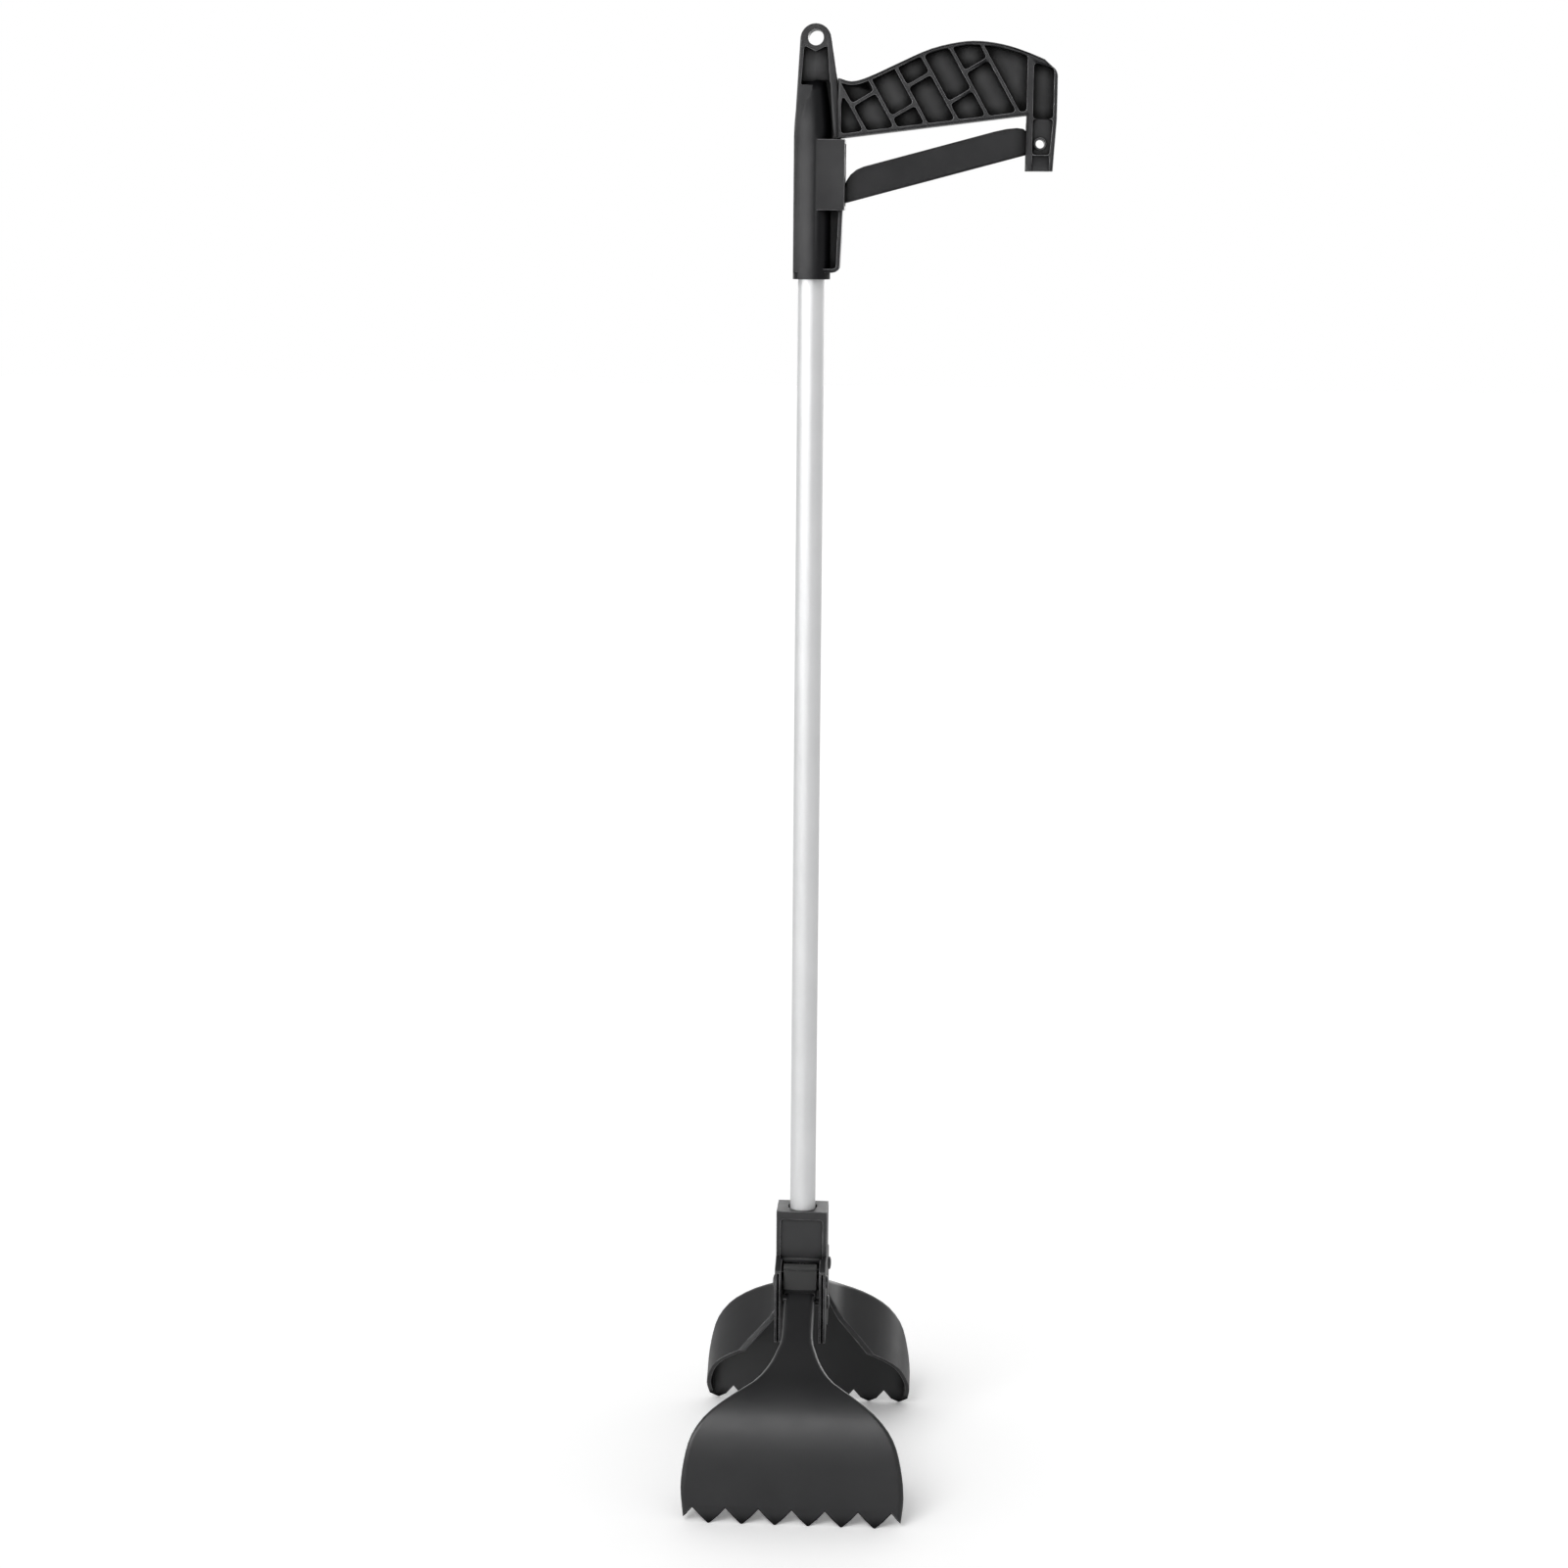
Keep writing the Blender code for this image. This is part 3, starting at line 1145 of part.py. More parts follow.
def make_spring():
    points = spring_points()
    gap = least_gap_to_itself(points, SPRING_WIRE)
    print("least gap between the spring's turns, mm:", round(1000 * gap, 2))
    curve = bpy.data.curves.new("spring", "CURVE")
    curve.dimensions = "3D"
    curve.bevel_depth = SPRING_WIRE / 2
    curve.bevel_resolution = 1
    curve.use_fill_caps = True
    path = curve.splines.new("POLY")
    path.points.add(len(points) - 1)
    path.points.foreach_set("co", np.column_stack((points, np.ones(len(points)))).ravel())
    drawn = bpy.data.objects.new("spring_path", curve)
    bpy.context.scene.collection.objects.link(drawn)
    graph = bpy.context.evaluated_depsgraph_get()
    mesh = bpy.data.meshes.new_from_object(drawn.evaluated_get(graph))
    bpy.data.objects.remove(drawn)
    bpy.data.curves.remove(curve)
    piece = solid("spring", lambda shape: shape.from_mesh(mesh))
    bpy.data.meshes.remove(mesh)
    return piece


def make_bush(at_top):
    """A plain bush that guides the rod: flanged on the tube's upper end, and flush in its lower end."""
    bore, body = ROD_DIAMETER / 2 + GAP, TUBE_DIAMETER / 2 - TUBE_WALL - GAP
    if not at_top:
        low = TUBE_BOTTOM_Z
        return turned("bush", ring_profile(bore, body, low, low + BUSH_LENGTH / 2))
    low, high, flange = TUBE_TOP_Z - BUSH_LENGTH, TUBE_TOP_Z + BUSH_FLANGE, TUBE_DIAMETER / 2 - GAP
    return turned("bush", [
        (bore, low), (body, low), (body, TUBE_TOP_Z + GAP),
        (flange, TUBE_TOP_Z + GAP), (flange, high), (bore, high),
    ])


def make_headed_pin(diameter, length, centre, axis):
    """A pin with a low head on its -X or -Y end; its cap goes on the other end."""
    radius, half = diameter / 2, length / 2
    head = radius + PIN_HEAD_RIM
    profile = [
        (0, -half - PIN_HEAD_THICKNESS), (head - GAP, -half - PIN_HEAD_THICKNESS),
        (head, -half - GAP), (head, -half), (radius, -half),
        (radius, half + PIN_HEAD_THICKNESS / 2), (0, half + PIN_HEAD_THICKNESS / 2),
    ]
    return turned("pin", profile, centre, axis, PIN_STEPS)


def make_cap(diameter, length, centre, axis):
    """A push-on cap over a headed pin's plain end."""
    radius, half = diameter / 2, length / 2
    rim, bore = radius + PIN_HEAD_RIM, radius + GAP
    floor = half + PIN_HEAD_THICKNESS / 2 + GAP
    top = half + PIN_HEAD_THICKNESS + GAP
    profile = [
        (bore, half), (rim, half), (rim, top - GAP), (rim - GAP, top), (0, top), (0, floor), (bore, floor),
    ]
    return turned("cap", profile, centre, axis, PIN_STEPS)


def make_hollow_rivet():
    """The trigger's pivot: a tube whose ends are flared over the pillar's recessed faces."""
    outer, bore = TRIGGER_PIVOT_OUTER / 2, TRIGGER_PIVOT_BORE / 2
    seat = GRIP_WIDTH / 2 - PILLAR_RECESS + GAP
    rim, face = outer + TRIGGER_PIVOT_RIM, seat + PIN_HEAD_THICKNESS / 2
    profile = [
        (bore, -face), (rim, -face), (rim, -seat), (outer, -seat),
        (outer, seat), (rim, seat), (rim, face), (bore, face),
    ]
    return turned("rivet", profile, (TRIGGER_ARM, 0, TRIGGER_PIVOT_Z), "Y", PIN_STEPS)


def make_screw(surface, height):
    """A short pan-head screw from the back, through the moulding and one wall of the tube."""
    shank, head = SCREW_DIAMETER / 2, SCREW_HEAD_DIAMETER / 2
    tip = TUBE_DIAMETER / 2 - TUBE_WALL - SCREW_REACH
    under = surface - SCREW_HEAD_THICKNESS + GAP
    top = under + SCREW_HEAD_THICKNESS - GAP
    profile = [
        (0, tip), (shank / 2, tip), (shank, tip + SCREW_REACH), (shank, under), (head, under),
        (head, top - GAP), (head - 2 * GAP, top), (0, top),
    ]
    return turned("screw", profile, (0, 0, height), "Y", PIN_STEPS)


# Materials


def material(name, colour, roughness, metallic=0.0):
    made = bpy.data.materials.new(name)
    made.use_nodes = True
    shader = made.node_tree.nodes["Principled BSDF"]
    shader.inputs["Base Color"].default_value = (*colour, 1.0)
    shader.inputs["Roughness"].default_value = roughness
    shader.inputs["Metallic"].default_value = metallic
    return made


def clear_scene():
    for piece in list(bpy.data.objects):
        bpy.data.objects.remove(piece)


def main():
    clear_scene()
    black_plastic = material("black_plastic", (0.030, 0.030, 0.032), 0.45)
    jaw_plastic = material("jaw_plastic", (0.026, 0.026, 0.028), 0.40)
    tube_metal = material("satin_aluminium", (0.80, 0.81, 0.82), 0.32, 1.0)
    steel = material("steel", (0.55, 0.55, 0.56), 0.30, 1.0)
    nylon = material("white_nylon", (0.78, 0.77, 0.73), 0.55)

    stand = bpy.data.objects.new("tube_axis", None)
    stand.location = (TUBE_X, 0, 0)
    bpy.context.scene.collection.objects.link(stand)

    trigger_pivot = (TRIGGER_ARM, 0, TRIGGER_PIVOT_Z)
    finish(make_handle(), "handle_frame", black_plastic, stand)
    finish(make_trigger(), "trigger", black_plastic, stand, trigger_pivot)
    finish(make_hollow_rivet(), "trigger_pivot_rivet", black_plastic, stand, trigger_pivot)
    finish(make_tube(), "main_tube", tube_metal, stand)
    finish(make_hub(), "hub_housing", black_plastic, stand)
    finish(make_bush(True), "upper_rod_bush", nylon, stand)
    finish(make_bush(False), "lower_rod_bush", nylon, stand)
    finish(make_screw(BARREL_DIAMETER / 2, HANDLE_SCREW_Z), "handle_screw", steel, stand)
    finish(make_screw(HUB_DEPTH / 2 - PANEL_DEPTH, HUB_SCREW_Z), "hub_screw", steel, stand)

    finish(make_rod(), "pull_rod", steel, stand)
    finish(make_clevis(), "rod_clevis", steel, stand)
    clevis_pin = rod_profile(CLEVIS_PIN_DIAMETER / 2, GAP - CLEVIS_DIAMETER / 2, CLEVIS_DIAMETER / 2 - GAP)
    finish(turned("pin", clevis_pin, (0, 0, tail_pin_z()), "Y", PIN_STEPS), "clevis_pin", steel, stand)
    finish(hexagon_nut("nut", clevis_low() - GAP - NUT_THICKNESS), "upper_lock_nut", steel, stand)
    finish(hexagon_nut("nut", crosshead_top() + GAP), "lower_lock_nut", steel, stand)
    finish(make_spring(), "return_spring", steel, stand)
    finish(make_washer(), "spring_washer", steel, stand)
    finish(make_clip(), "spring_clip", steel, stand)
    finish(make_crosshead(), "crosshead", steel, stand)

    span = HUB_WIDTH + 2 * GAP
    crosshead_pin = (0, 0, CROSSHEAD_PIN_Z)
    long_pin = make_headed_pin(CROSSHEAD_PIN_DIAMETER, span, crosshead_pin, "X")
    finish(long_pin, "crosshead_pin", steel, stand, crosshead_pin)
    long_cap = make_cap(CROSSHEAD_PIN_DIAMETER, span, crosshead_pin, "X")
    finish(long_cap, "crosshead_pin_cap", steel, stand, crosshead_pin)
    for name, side, phase in (("front", -1, 0.5), ("rear", 1, 0.0)):
        pivot = (0, side * HALF_SPACING, PIVOT_Z)
        jaw = finish(make_jaw(phase), f"{name}_jaw", jaw_plastic, stand)
        jaw.location = pivot
        jaw.rotation_euler = (-JAW_OPEN_ANGLE, 0, 0 if side < 0 else math.pi)
        pin = make_headed_pin(JAW_PIN_DIAMETER, span, pivot, "X")
        finish(pin, f"{name}_jaw_pin", steel, stand, pivot)
        cap = make_cap(JAW_PIN_DIAMETER, span, pivot, "X")
        finish(cap, f"{name}_jaw_pin_cap", steel, stand, pivot)


main()
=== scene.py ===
"""Looks of the long-handled scooper: moulded black plastic, a satin aluminium tube and plated pins.

Metres, +Z up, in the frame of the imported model. Each new surface is an array of points worked out from a
formula, which its function states. Every other piece is a cleaned copy of its own solid.
"""

import json
import math

import bmesh
import bpy
import numpy as np
from mathutils import Matrix, Vector


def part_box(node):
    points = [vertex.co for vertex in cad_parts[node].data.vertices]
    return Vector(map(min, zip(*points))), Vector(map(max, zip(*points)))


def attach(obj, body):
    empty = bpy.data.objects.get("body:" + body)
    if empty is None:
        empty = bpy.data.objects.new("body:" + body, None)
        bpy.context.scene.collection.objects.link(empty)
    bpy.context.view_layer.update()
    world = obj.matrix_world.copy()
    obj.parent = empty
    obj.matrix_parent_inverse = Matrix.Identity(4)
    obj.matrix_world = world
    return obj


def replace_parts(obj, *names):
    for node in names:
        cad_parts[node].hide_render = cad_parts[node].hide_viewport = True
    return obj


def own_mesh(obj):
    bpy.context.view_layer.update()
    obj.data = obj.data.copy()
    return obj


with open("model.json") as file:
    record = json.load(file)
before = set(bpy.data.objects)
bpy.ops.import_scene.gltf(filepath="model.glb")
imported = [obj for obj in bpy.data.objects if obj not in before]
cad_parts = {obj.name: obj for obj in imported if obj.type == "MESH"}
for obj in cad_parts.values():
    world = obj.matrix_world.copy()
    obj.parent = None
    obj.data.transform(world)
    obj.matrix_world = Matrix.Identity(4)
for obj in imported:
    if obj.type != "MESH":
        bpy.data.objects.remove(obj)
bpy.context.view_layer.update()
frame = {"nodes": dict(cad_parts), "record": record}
body_of = {node: body for body, nodes in frame["record"]["behaviour"]["bodies"].items() for node in nodes}

# View of the photograph, about the tube's axis
FOCAL_SHARE = 2983 / 1601  # focal length as a share of the picture's width
MILLIMETRES = 1000
SENSOR = 0.036
CAMERA_HEIGHT = 0.7915
CAMERA_DISTANCE = 1.773
CAMERA_AZIMUTH = math.radians(3.5)
CAMERA_PITCH = math.radians(11.05)
CAMERA_ROLL = math.radians(0.45)
CAMERA_SIDE = -0.0140  # the optical axis passes the tube on its left

# Floor and light
FLOOR_REACH = 12.0
FLOOR_GLOW = 0.75  # the floor's paleness as the object mirrors it
FLOOR_SEEN = 1.23  # and as the camera sees it, burnt out to white but for the shadows
BACKDROP_SEEN = 1.0
ROOM = 0.62  # the room's diffuse light
ROOM_MIRRORED = 0.62
CEILING_MIRRORED = 0.25
CEILING_FOOT = 0.25  # height of a mirrored way at which the room starts to darken
WINDOWS = (  # seen in reflections only: (way, height, half its height, power)
    ((-0.62, -0.78, 0.0), 0.02, 0.25, 16.0),
    ((0.25, 0.97, 0.0), 0.15, 0.30, 4.5),
)
WINDOW_EDGE = 0.55  # how nearly a way must point at a window to see it at all
KEY_WAY = (-0.30, -0.62, 0.72)
KEY_SPREAD = math.radians(28)
KEY_POWER = 1.0

# Black plastics: their greys, then roughness, gloss, edge radius, strength of the painted edge highlight and
# reach of the painted shade in the recesses
PLASTICS = {
    "handle_plastic": {
        "dark": (0.005, 0.005, 0.006), "worn": (0.008, 0.008, 0.009), "roughness": 0.34, "scuff": 0.05,
        "grain": 0.35, "shine": 0.19, "edge": 0.0006, "highlight_strength": 1.0, "reach": 0.007,
    },
    "trigger_plastic": {
        "dark": (0.013, 0.013, 0.014), "worn": (0.019, 0.019, 0.020), "roughness": 0.50, "scuff": 0.05,
        "grain": 0.45, "shine": 0.17, "edge": 0.0009, "highlight_strength": 0.35, "reach": 0.008,
    },
    "jaw_plastic": {
        "dark": (0.008, 0.008, 0.009), "worn": (0.012, 0.012, 0.013), "roughness": 0.41, "scuff": 0.04,
        "grain": 0.15, "shine": 0.53, "edge": 0.0010, "highlight_strength": 0.5, "reach": 0.008,
    },
    "hub_plastic": {
        "dark": (0.013, 0.013, 0.014), "worn": (0.018, 0.018, 0.019), "roughness": 0.42, "scuff": 0.05,
        "grain": 0.30, "shine": 0.46, "edge": 0.0010, "highlight_strength": 0.7, "reach": 0.008,
    },
}
NOISE_SPREAD = (0.3, 0.7)  # where most of a noise's values lie
DRIFT_SCALE = 28.0
DRIFT_SPREAD = (0.35, 0.7)
PATCH_SCALE = 60.0
GRAIN_SCALE = 2600.0
GRAIN_DEPTH = 0.0001
FLOW_SCALE = 70.0  # the slight waviness of a large moulded face
FLOW_DEPTH = 0.0006
FLOW_STRENGTH = 0.10
EDGE_SAMPLES = 6
# Painted highlight: edges made paler in the base colour where the rounded normal turns off its face, broken
# up by noise
PAINTED_HIGHLIGHT_COLOUR = (0.42, 0.42, 0.43)
HIGHLIGHT_TURN = (0.995, 0.88)  # how far a rounded normal follows its face, off the edge and on it: where the painted edge highlight starts and where it is full
HIGHLIGHT_NOISE_SCALE = 150.0
HIGHLIGHT_NOISE_SPREAD = (0.35, 0.6)
HIGHLIGHT_NOISE_LEAST = 0.45
# Painted shade: recesses darkened and their reflection dimmed where ambient occlusion finds them closed in
SHADE_SAMPLES = 6
PAINTED_SHADE_COLOUR = (0.002, 0.002, 0.002)
PAINTED_SHADE_SHINE = 0.02
PAINTED_SHADE_OPEN = (0.5, 0.97)  # shares of open sky where the painted shade is full, deep in a recess, and where it ends, out of it

# Tube, steels and nylon
TUBE_GREYS = ((0.74, 0.745, 0.75), (0.79, 0.795, 0.80))
TUBE_CLOUD_SCALE = 35.0
TUBE_LINE_SCALE = (3200.0, 3200.0, 9.0)
TUBE_LINE_DEPTH = 0.00004
TUBE_LINE_STRENGTH = 0.15
TUBE_ROUGHNESS = (0.32, 0.44)
TUBE_METAL = 0.12
TUBE_SHINE = 0.7
STEELS = {
    "plated_steel": {"colour": (0.62, 0.62, 0.63), "roughness": 0.28},
    "spring_steel": {"colour": (0.40, 0.40, 0.41), "roughness": 0.25},
    "blackened_steel": {"colour": (0.070, 0.070, 0.072), "roughness": 0.36},
}
STEEL_MARK_SCALE = 900.0
STEEL_MARK_DEPTH = 0.00005
STEEL_MARK_STRENGTH = 0.2
STEEL_POLISHED = 0.06  # roughness less and more between its marks
STEEL_DULLED = 0.08
NYLON_WHITES = ((0.78, 0.77, 0.73), (0.72, 0.70, 0.65))
NYLON_CLOUD_SCALE = 120.0
NYLON_ROUGHNESS = (0.48, 0.6)
WORN_BY = {
    "handle_frame": "handle_plastic", "trigger_pivot_rivet": "handle_plastic", "trigger": "trigger_plastic",
    "hub_housing": "hub_plastic", "front_jaw": "jaw_plastic", "rear_jaw": "jaw_plastic",
    "main_tube": "satin_tube", "return_spring": "spring_steel", "crosshead": "natural_nylon",
    "upper_rod_bush": "natural_nylon", "lower_rod_bush": "natural_nylon",
    "front_jaw_pin": "blackened_steel", "front_jaw_pin_cap": "blackened_steel",
    "rear_jaw_pin": "blackened_steel", "rear_jaw_pin_cap": "blackened_steel",
    "crosshead_pin": "blackened_steel", "crosshead_pin_cap": "blackened_steel",
}
OTHERS_WEAR = "plated_steel"

# Shapes
TUBE_WALL = 0.0010
TUBE_CHAMFER = 0.0003
TUBE_STEPS = 96
PIN_RIM = 0.0021  # how far a pin's head stands out round its shank
PIN_TURN_STEPS = 40
HEAD_THICKNESS = 0.0012
CAP_EDGE = 0.0005
DOME_STEPS = 7
SPRING_WIRE = 0.0012
SPRING_TURNS = 14
SPRING_STEPS = 28  # rings of points in a turn
SPRING_SIDES = 12
HOOD_HALF = 0.0104  # half the width of a jaw's knuckle
HOOD_ROUND = 0.0004
ROUND_STEPS = 4
HOOD_PROFILE = (  # (out from the tube's axis, height): foot, face, groove, lip and back
    (0.0222, 0.1229), (0.0232, 0.1229), (0.0232, 0.1366),
    (0.0229, 0.1369), (0.0229, 0.1373),
    (0.0234, 0.1376), (0.0235, 0.1380), (0.0235, 0.1392), (0.0231, 0.1399), (0.0222, 0.1407),
    (0.0206, 0.1407), (0.0206, 0.1392), (0.0219, 0.1380),
)
MERGE_GAP = 2e-6
FLAT_TURN = math.radians(0.3)  # faces nearer to one plane than this are joined
SHARP_TURN = math.radians(32)  # an edge that turns further than this stays sharp

# Helpers for materials


def shader_of(name):
    """A fresh material with its nodes, its shader and its place in the object's own metres."""
    made = bpy.data.materials.new(name)
    made.use_nodes = True
    place = made.node_tree.nodes.new("ShaderNodeTexCoord")
    return made, made.node_tree, made.node_tree.nodes["Principled BSDF"].inputs, place.outputs["Object"]


def feed(tree, value, socket):
    """Links a socket, or sets a plain number or colour."""
    if isinstance(value, bpy.types.NodeSocket):
        tree.links.new(value, socket)
    else:
        socket.default_value = value


def noise(tree, vector, scale, detail=2.0, roughness=0.5):
    made = tree.nodes.new("ShaderNodeTexNoise")
    made.inputs["Scale"].default_value = scale
    made.inputs["Detail"].default_value = detail
    made.inputs["Roughness"].default_value = roughness
    tree.links.new(vector, made.inputs["Vector"])
    return made.outputs["Fac"]


def stretched(tree, vector, scale):
    made = tree.nodes.new("ShaderNodeMapping")
    made.inputs["Scale"].default_value = scale
    tree.links.new(vector, made.inputs["Vector"])
    return made.outputs["Vector"]


def ranged(tree, value, spread, result=(0.0, 1.0)):
    """A value carried from one range to another in proportion, and held within it."""
    made = tree.nodes.new("ShaderNodeMapRange")
    tree.links.new(value, made.inputs["Value"])
    for socket, number in zip(("From Min", "From Max", "To Min", "To Max"), (*spread, *result)):
        made.inputs[socket].default_value = number
    return made.outputs["Result"]


def blended(tree, share, first, second):
    """Two colours mixed by a share."""
    made = tree.nodes.new("ShaderNodeMix")
    made.data_type = "RGBA"
    feed(tree, share, made.inputs["Factor"])
    for value, socket in ((first, made.inputs["A"]), (second, made.inputs["B"])):
        feed(tree, (*value, 1.0) if isinstance(value, tuple) else value, socket)
    return made.outputs["Result"]


def chosen(tree, share, first, second):
    """Two numbers mixed by a share, such as one that says which kind of ray it is."""
    made = tree.nodes.new("ShaderNodeMix")
    for value, socket in ((share, "Factor"), (first, "A"), (second, "B")):
        feed(tree, value, made.inputs[socket])
    return made.outputs["Result"]


def worked(tree, operation, first, second=0.0):
    """The result of a sum on one or two numbers or sockets."""
    made = tree.nodes.new("ShaderNodeMath")
    made.operation = operation
    feed(tree, first, made.inputs[0])
    feed(tree, second, made.inputs[1])
    return made.outputs["Value"]


def along(tree, vector, way):
    """How far a vector points along a way."""
    made = tree.nodes.new("ShaderNodeVectorMath")
    made.operation = "DOT_PRODUCT"
    tree.links.new(vector, made.inputs[0])
    feed(tree, way, made.inputs[1])
    return made.outputs["Value"]


def raised(tree, height, depth, strength, before=None):
    """Normals of a surface raised by a height, on top of those that it had before."""
    made = tree.nodes.new("ShaderNodeBump")
    made.inputs["Distance"].default_value = depth
    made.inputs["Strength"].default_value = strength
    tree.links.new(height, made.inputs["Height"])
    if before is not None:
        tree.links.new(before, made.inputs["Normal"])
    return made.outputs["Normal"]


def rounded_edges(tree, width):
    """Normals turned as if each edge had a small moulded radius."""
    made = tree.nodes.new("ShaderNodeBevel")
    made.samples = EDGE_SAMPLES
    made.inputs["Radius"].default_value = width
    return made.outputs["Normal"]


def open_share(tree, reach):
    """From zero deep in a recess to one on an open face."""
    made = tree.nodes.new("ShaderNodeAmbientOcclusion")
    made.samples = SHADE_SAMPLES
    made.inputs["Distance"].default_value = reach
    return ranged(tree, made.outputs["AO"], PAINTED_SHADE_OPEN)


# Materials


def moulded_plastic(name, dark, worn, roughness, scuff, grain, shine, edge, highlight_strength, reach):
    """Spark-eroded black plastic: fine grain, slow colour drift, recesses darkened and their reflection
    dimmed as painted shade, edges made paler as a painted highlight.
    """
    made, tree, shader, place = shader_of(name)
    drift = ranged(tree, noise(tree, place, DRIFT_SCALE, detail=4.0), DRIFT_SPREAD)
    rounded = rounded_edges(tree, edge)
    facing = tree.nodes.new("ShaderNodeNewGeometry").outputs["Normal"]
    # painted highlight along the edges, mixed into the base colour
    edges = ranged(tree, along(tree, rounded, facing), HIGHLIGHT_TURN, (0.0, highlight_strength))
    uneven = ranged(tree, noise(tree, place, HIGHLIGHT_NOISE_SCALE, detail=3.0), HIGHLIGHT_NOISE_SPREAD, (HIGHLIGHT_NOISE_LEAST, 1.0))
    painted_highlight = worked(tree, "MULTIPLY", edges, uneven)
    colour = blended(tree, painted_highlight, blended(tree, drift, dark, worn), PAINTED_HIGHLIGHT_COLOUR)
    # painted shade: recesses darkened in colour and dimmed in reflection by ambient occlusion
    unshaded = open_share(tree, reach)
    tree.links.new(blended(tree, unshaded, PAINTED_SHADE_COLOUR, colour), shader["Base Color"])
    gloss = ranged(tree, unshaded, (0.0, 1.0), (PAINTED_SHADE_SHINE, shine))
    tree.links.new(gloss, shader["Specular IOR Level"])
    patches = noise(tree, place, PATCH_SCALE, detail=5.0, roughness=0.6)
    dullness = ranged(tree, patches, NOISE_SPREAD, (roughness - scuff, roughness + scuff))
    tree.links.new(dullness, shader["Roughness"])
    fine = noise(tree, place, GRAIN_SCALE, detail=1.0)
    flow = noise(tree, place, FLOW_SCALE)
    normal = raised(tree, fine, GRAIN_DEPTH, grain, rounded)
    tree.links.new(raised(tree, flow, FLOW_DEPTH, FLOW_STRENGTH, normal), shader["Normal"])
    return made


def satin_tube():
    """Anodised tube: hair-fine lines drawn along it, and a faint cloudiness."""
    made, tree, shader, place = shader_of("satin_tube")
    lines = noise(tree, stretched(tree, place, TUBE_LINE_SCALE), 1.0)
    cloud = ranged(tree, noise(tree, place, TUBE_CLOUD_SCALE, detail=3.0), NOISE_SPREAD)
    tree.links.new(blended(tree, cloud, *TUBE_GREYS), shader["Base Color"])
    tree.links.new(ranged(tree, lines, NOISE_SPREAD, TUBE_ROUGHNESS), shader["Roughness"])
    tree.links.new(raised(tree, lines, TUBE_LINE_DEPTH, TUBE_LINE_STRENGTH), shader["Normal"])
    shader["Metallic"].default_value = TUBE_METAL
    shader["Specular IOR Level"].default_value = TUBE_SHINE
    return made


def bright_steel(name, colour, roughness):
    """Plated, blackened or drawn steel, with fine marks that dull it here and there."""
    made, tree, shader, place = shader_of(name)
    marks = noise(tree, place, STEEL_MARK_SCALE, detail=3.0)
    shader["Base Color"].default_value = (*colour, 1.0)
    dullness = ranged(tree, marks, NOISE_SPREAD, (roughness - STEEL_POLISHED, roughness + STEEL_DULLED))
    tree.links.new(dullness, shader["Roughness"])
    tree.links.new(raised(tree, marks, STEEL_MARK_DEPTH, STEEL_MARK_STRENGTH), shader["Normal"])
    shader["Metallic"].default_value = 1.0
    return made


def natural_nylon():
    """Undyed nylon: matte, cloudy, and slightly yellow where it is denser."""
    made, tree, shader, place = shader_of("natural_nylon")
    cloud = noise(tree, place, NYLON_CLOUD_SCALE, detail=3.0)
    tree.links.new(blended(tree, ranged(tree, cloud, NOISE_SPREAD), *NYLON_WHITES), shader["Base Color"])
    tree.links.new(ranged(tree, cloud, NOISE_SPREAD, NYLON_ROUGHNESS), shader["Roughness"])
    return made


def finish_nodes():
    """Gives every solid its finish, which the pieces made from it wear too."""
    finishes = {name: moulded_plastic(name, **look) for name, look in PLASTICS.items()}
    finishes["satin_tube"] = satin_tube()
    finishes.update({name: bright_steel(name, **look) for name, look in STEELS.items()})
    finishes["natural_nylon"] = natural_nylon()
    for name, node in frame["nodes"].items():
        node.data.materials.clear()
        node.data.materials.append(finishes[WORN_BY.get(name, OTHERS_WEAR)])


# Helpers for shapes


def made_piece(name, points, faces, node, finish):
    """An object from points and faces, finished as a solid is and riding on its body."""
    mesh = bpy.data.meshes.new(name)
    mesh.from_pydata(points.tolist(), [], faces)
    shape = bmesh.new()
    shape.from_mesh(mesh)
    bmesh.ops.remove_doubles(shape, verts=shape.verts, dist=MERGE_GAP)
    bmesh.ops.recalc_face_normals(shape, faces=shape.faces)
    shape.to_mesh(mesh)
    shape.free()
    mesh.shade_smooth()
    mesh.set_sharp_from_angle(angle=SHARP_TURN)
    mesh.materials.append(bpy.data.materials[finish])
    made = bpy.data.objects.new(name, mesh)
    bpy.context.scene.collection.objects.link(made)
    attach(made, body_of[node])
    return made


def closed_faces(rows, columns):
    """Quads of a grid that closes on itself both ways: corner (i, j) joins (i + 1, j) and (i, j + 1)."""
    i, j = np.mgrid[0:rows, 0:columns]
    ahead, beside = (i + 1) % rows, (j + 1) % columns
    corners = (i * columns + j, ahead * columns + j, ahead * columns + beside, i * columns + beside)
    return np.stack(corners, axis=-1).reshape(-1, 4).tolist()


def open_faces(rows, columns):
    """Quads between the rings of a carried profile, and the first and last ring as the two end faces."""
    i, j = np.mgrid[0:rows - 1, 0:columns]
    beside = (j + 1) % columns
    corners = (i * columns + j, i * columns + beside, (i + 1) * columns + beside, (i + 1) * columns + j)
    sides = np.stack(corners, axis=-1).reshape(-1, 4).tolist()
    ring = list(range(columns))
    last = [(rows - 1) * columns + place for place in ring]
    return sides + [ring[::-1], last]


def revolved(profile, centre, steps, axis="Z"):
    """A closed profile of (radius, height) turned about an axis: (r cos a, r sin a, h), rolled on to it."""
    turn = np.linspace(0, math.tau, steps, endpoint=False)[:, None]
    radius, height = np.asarray(profile).T
    grid = np.stack((radius * np.cos(turn), radius * np.sin(turn), height + 0 * turn), axis=-1)
    points = np.roll(grid, "ZXY".index(axis), axis=-1).reshape(-1, 3) + centre
    return points, closed_faces(steps, len(radius))


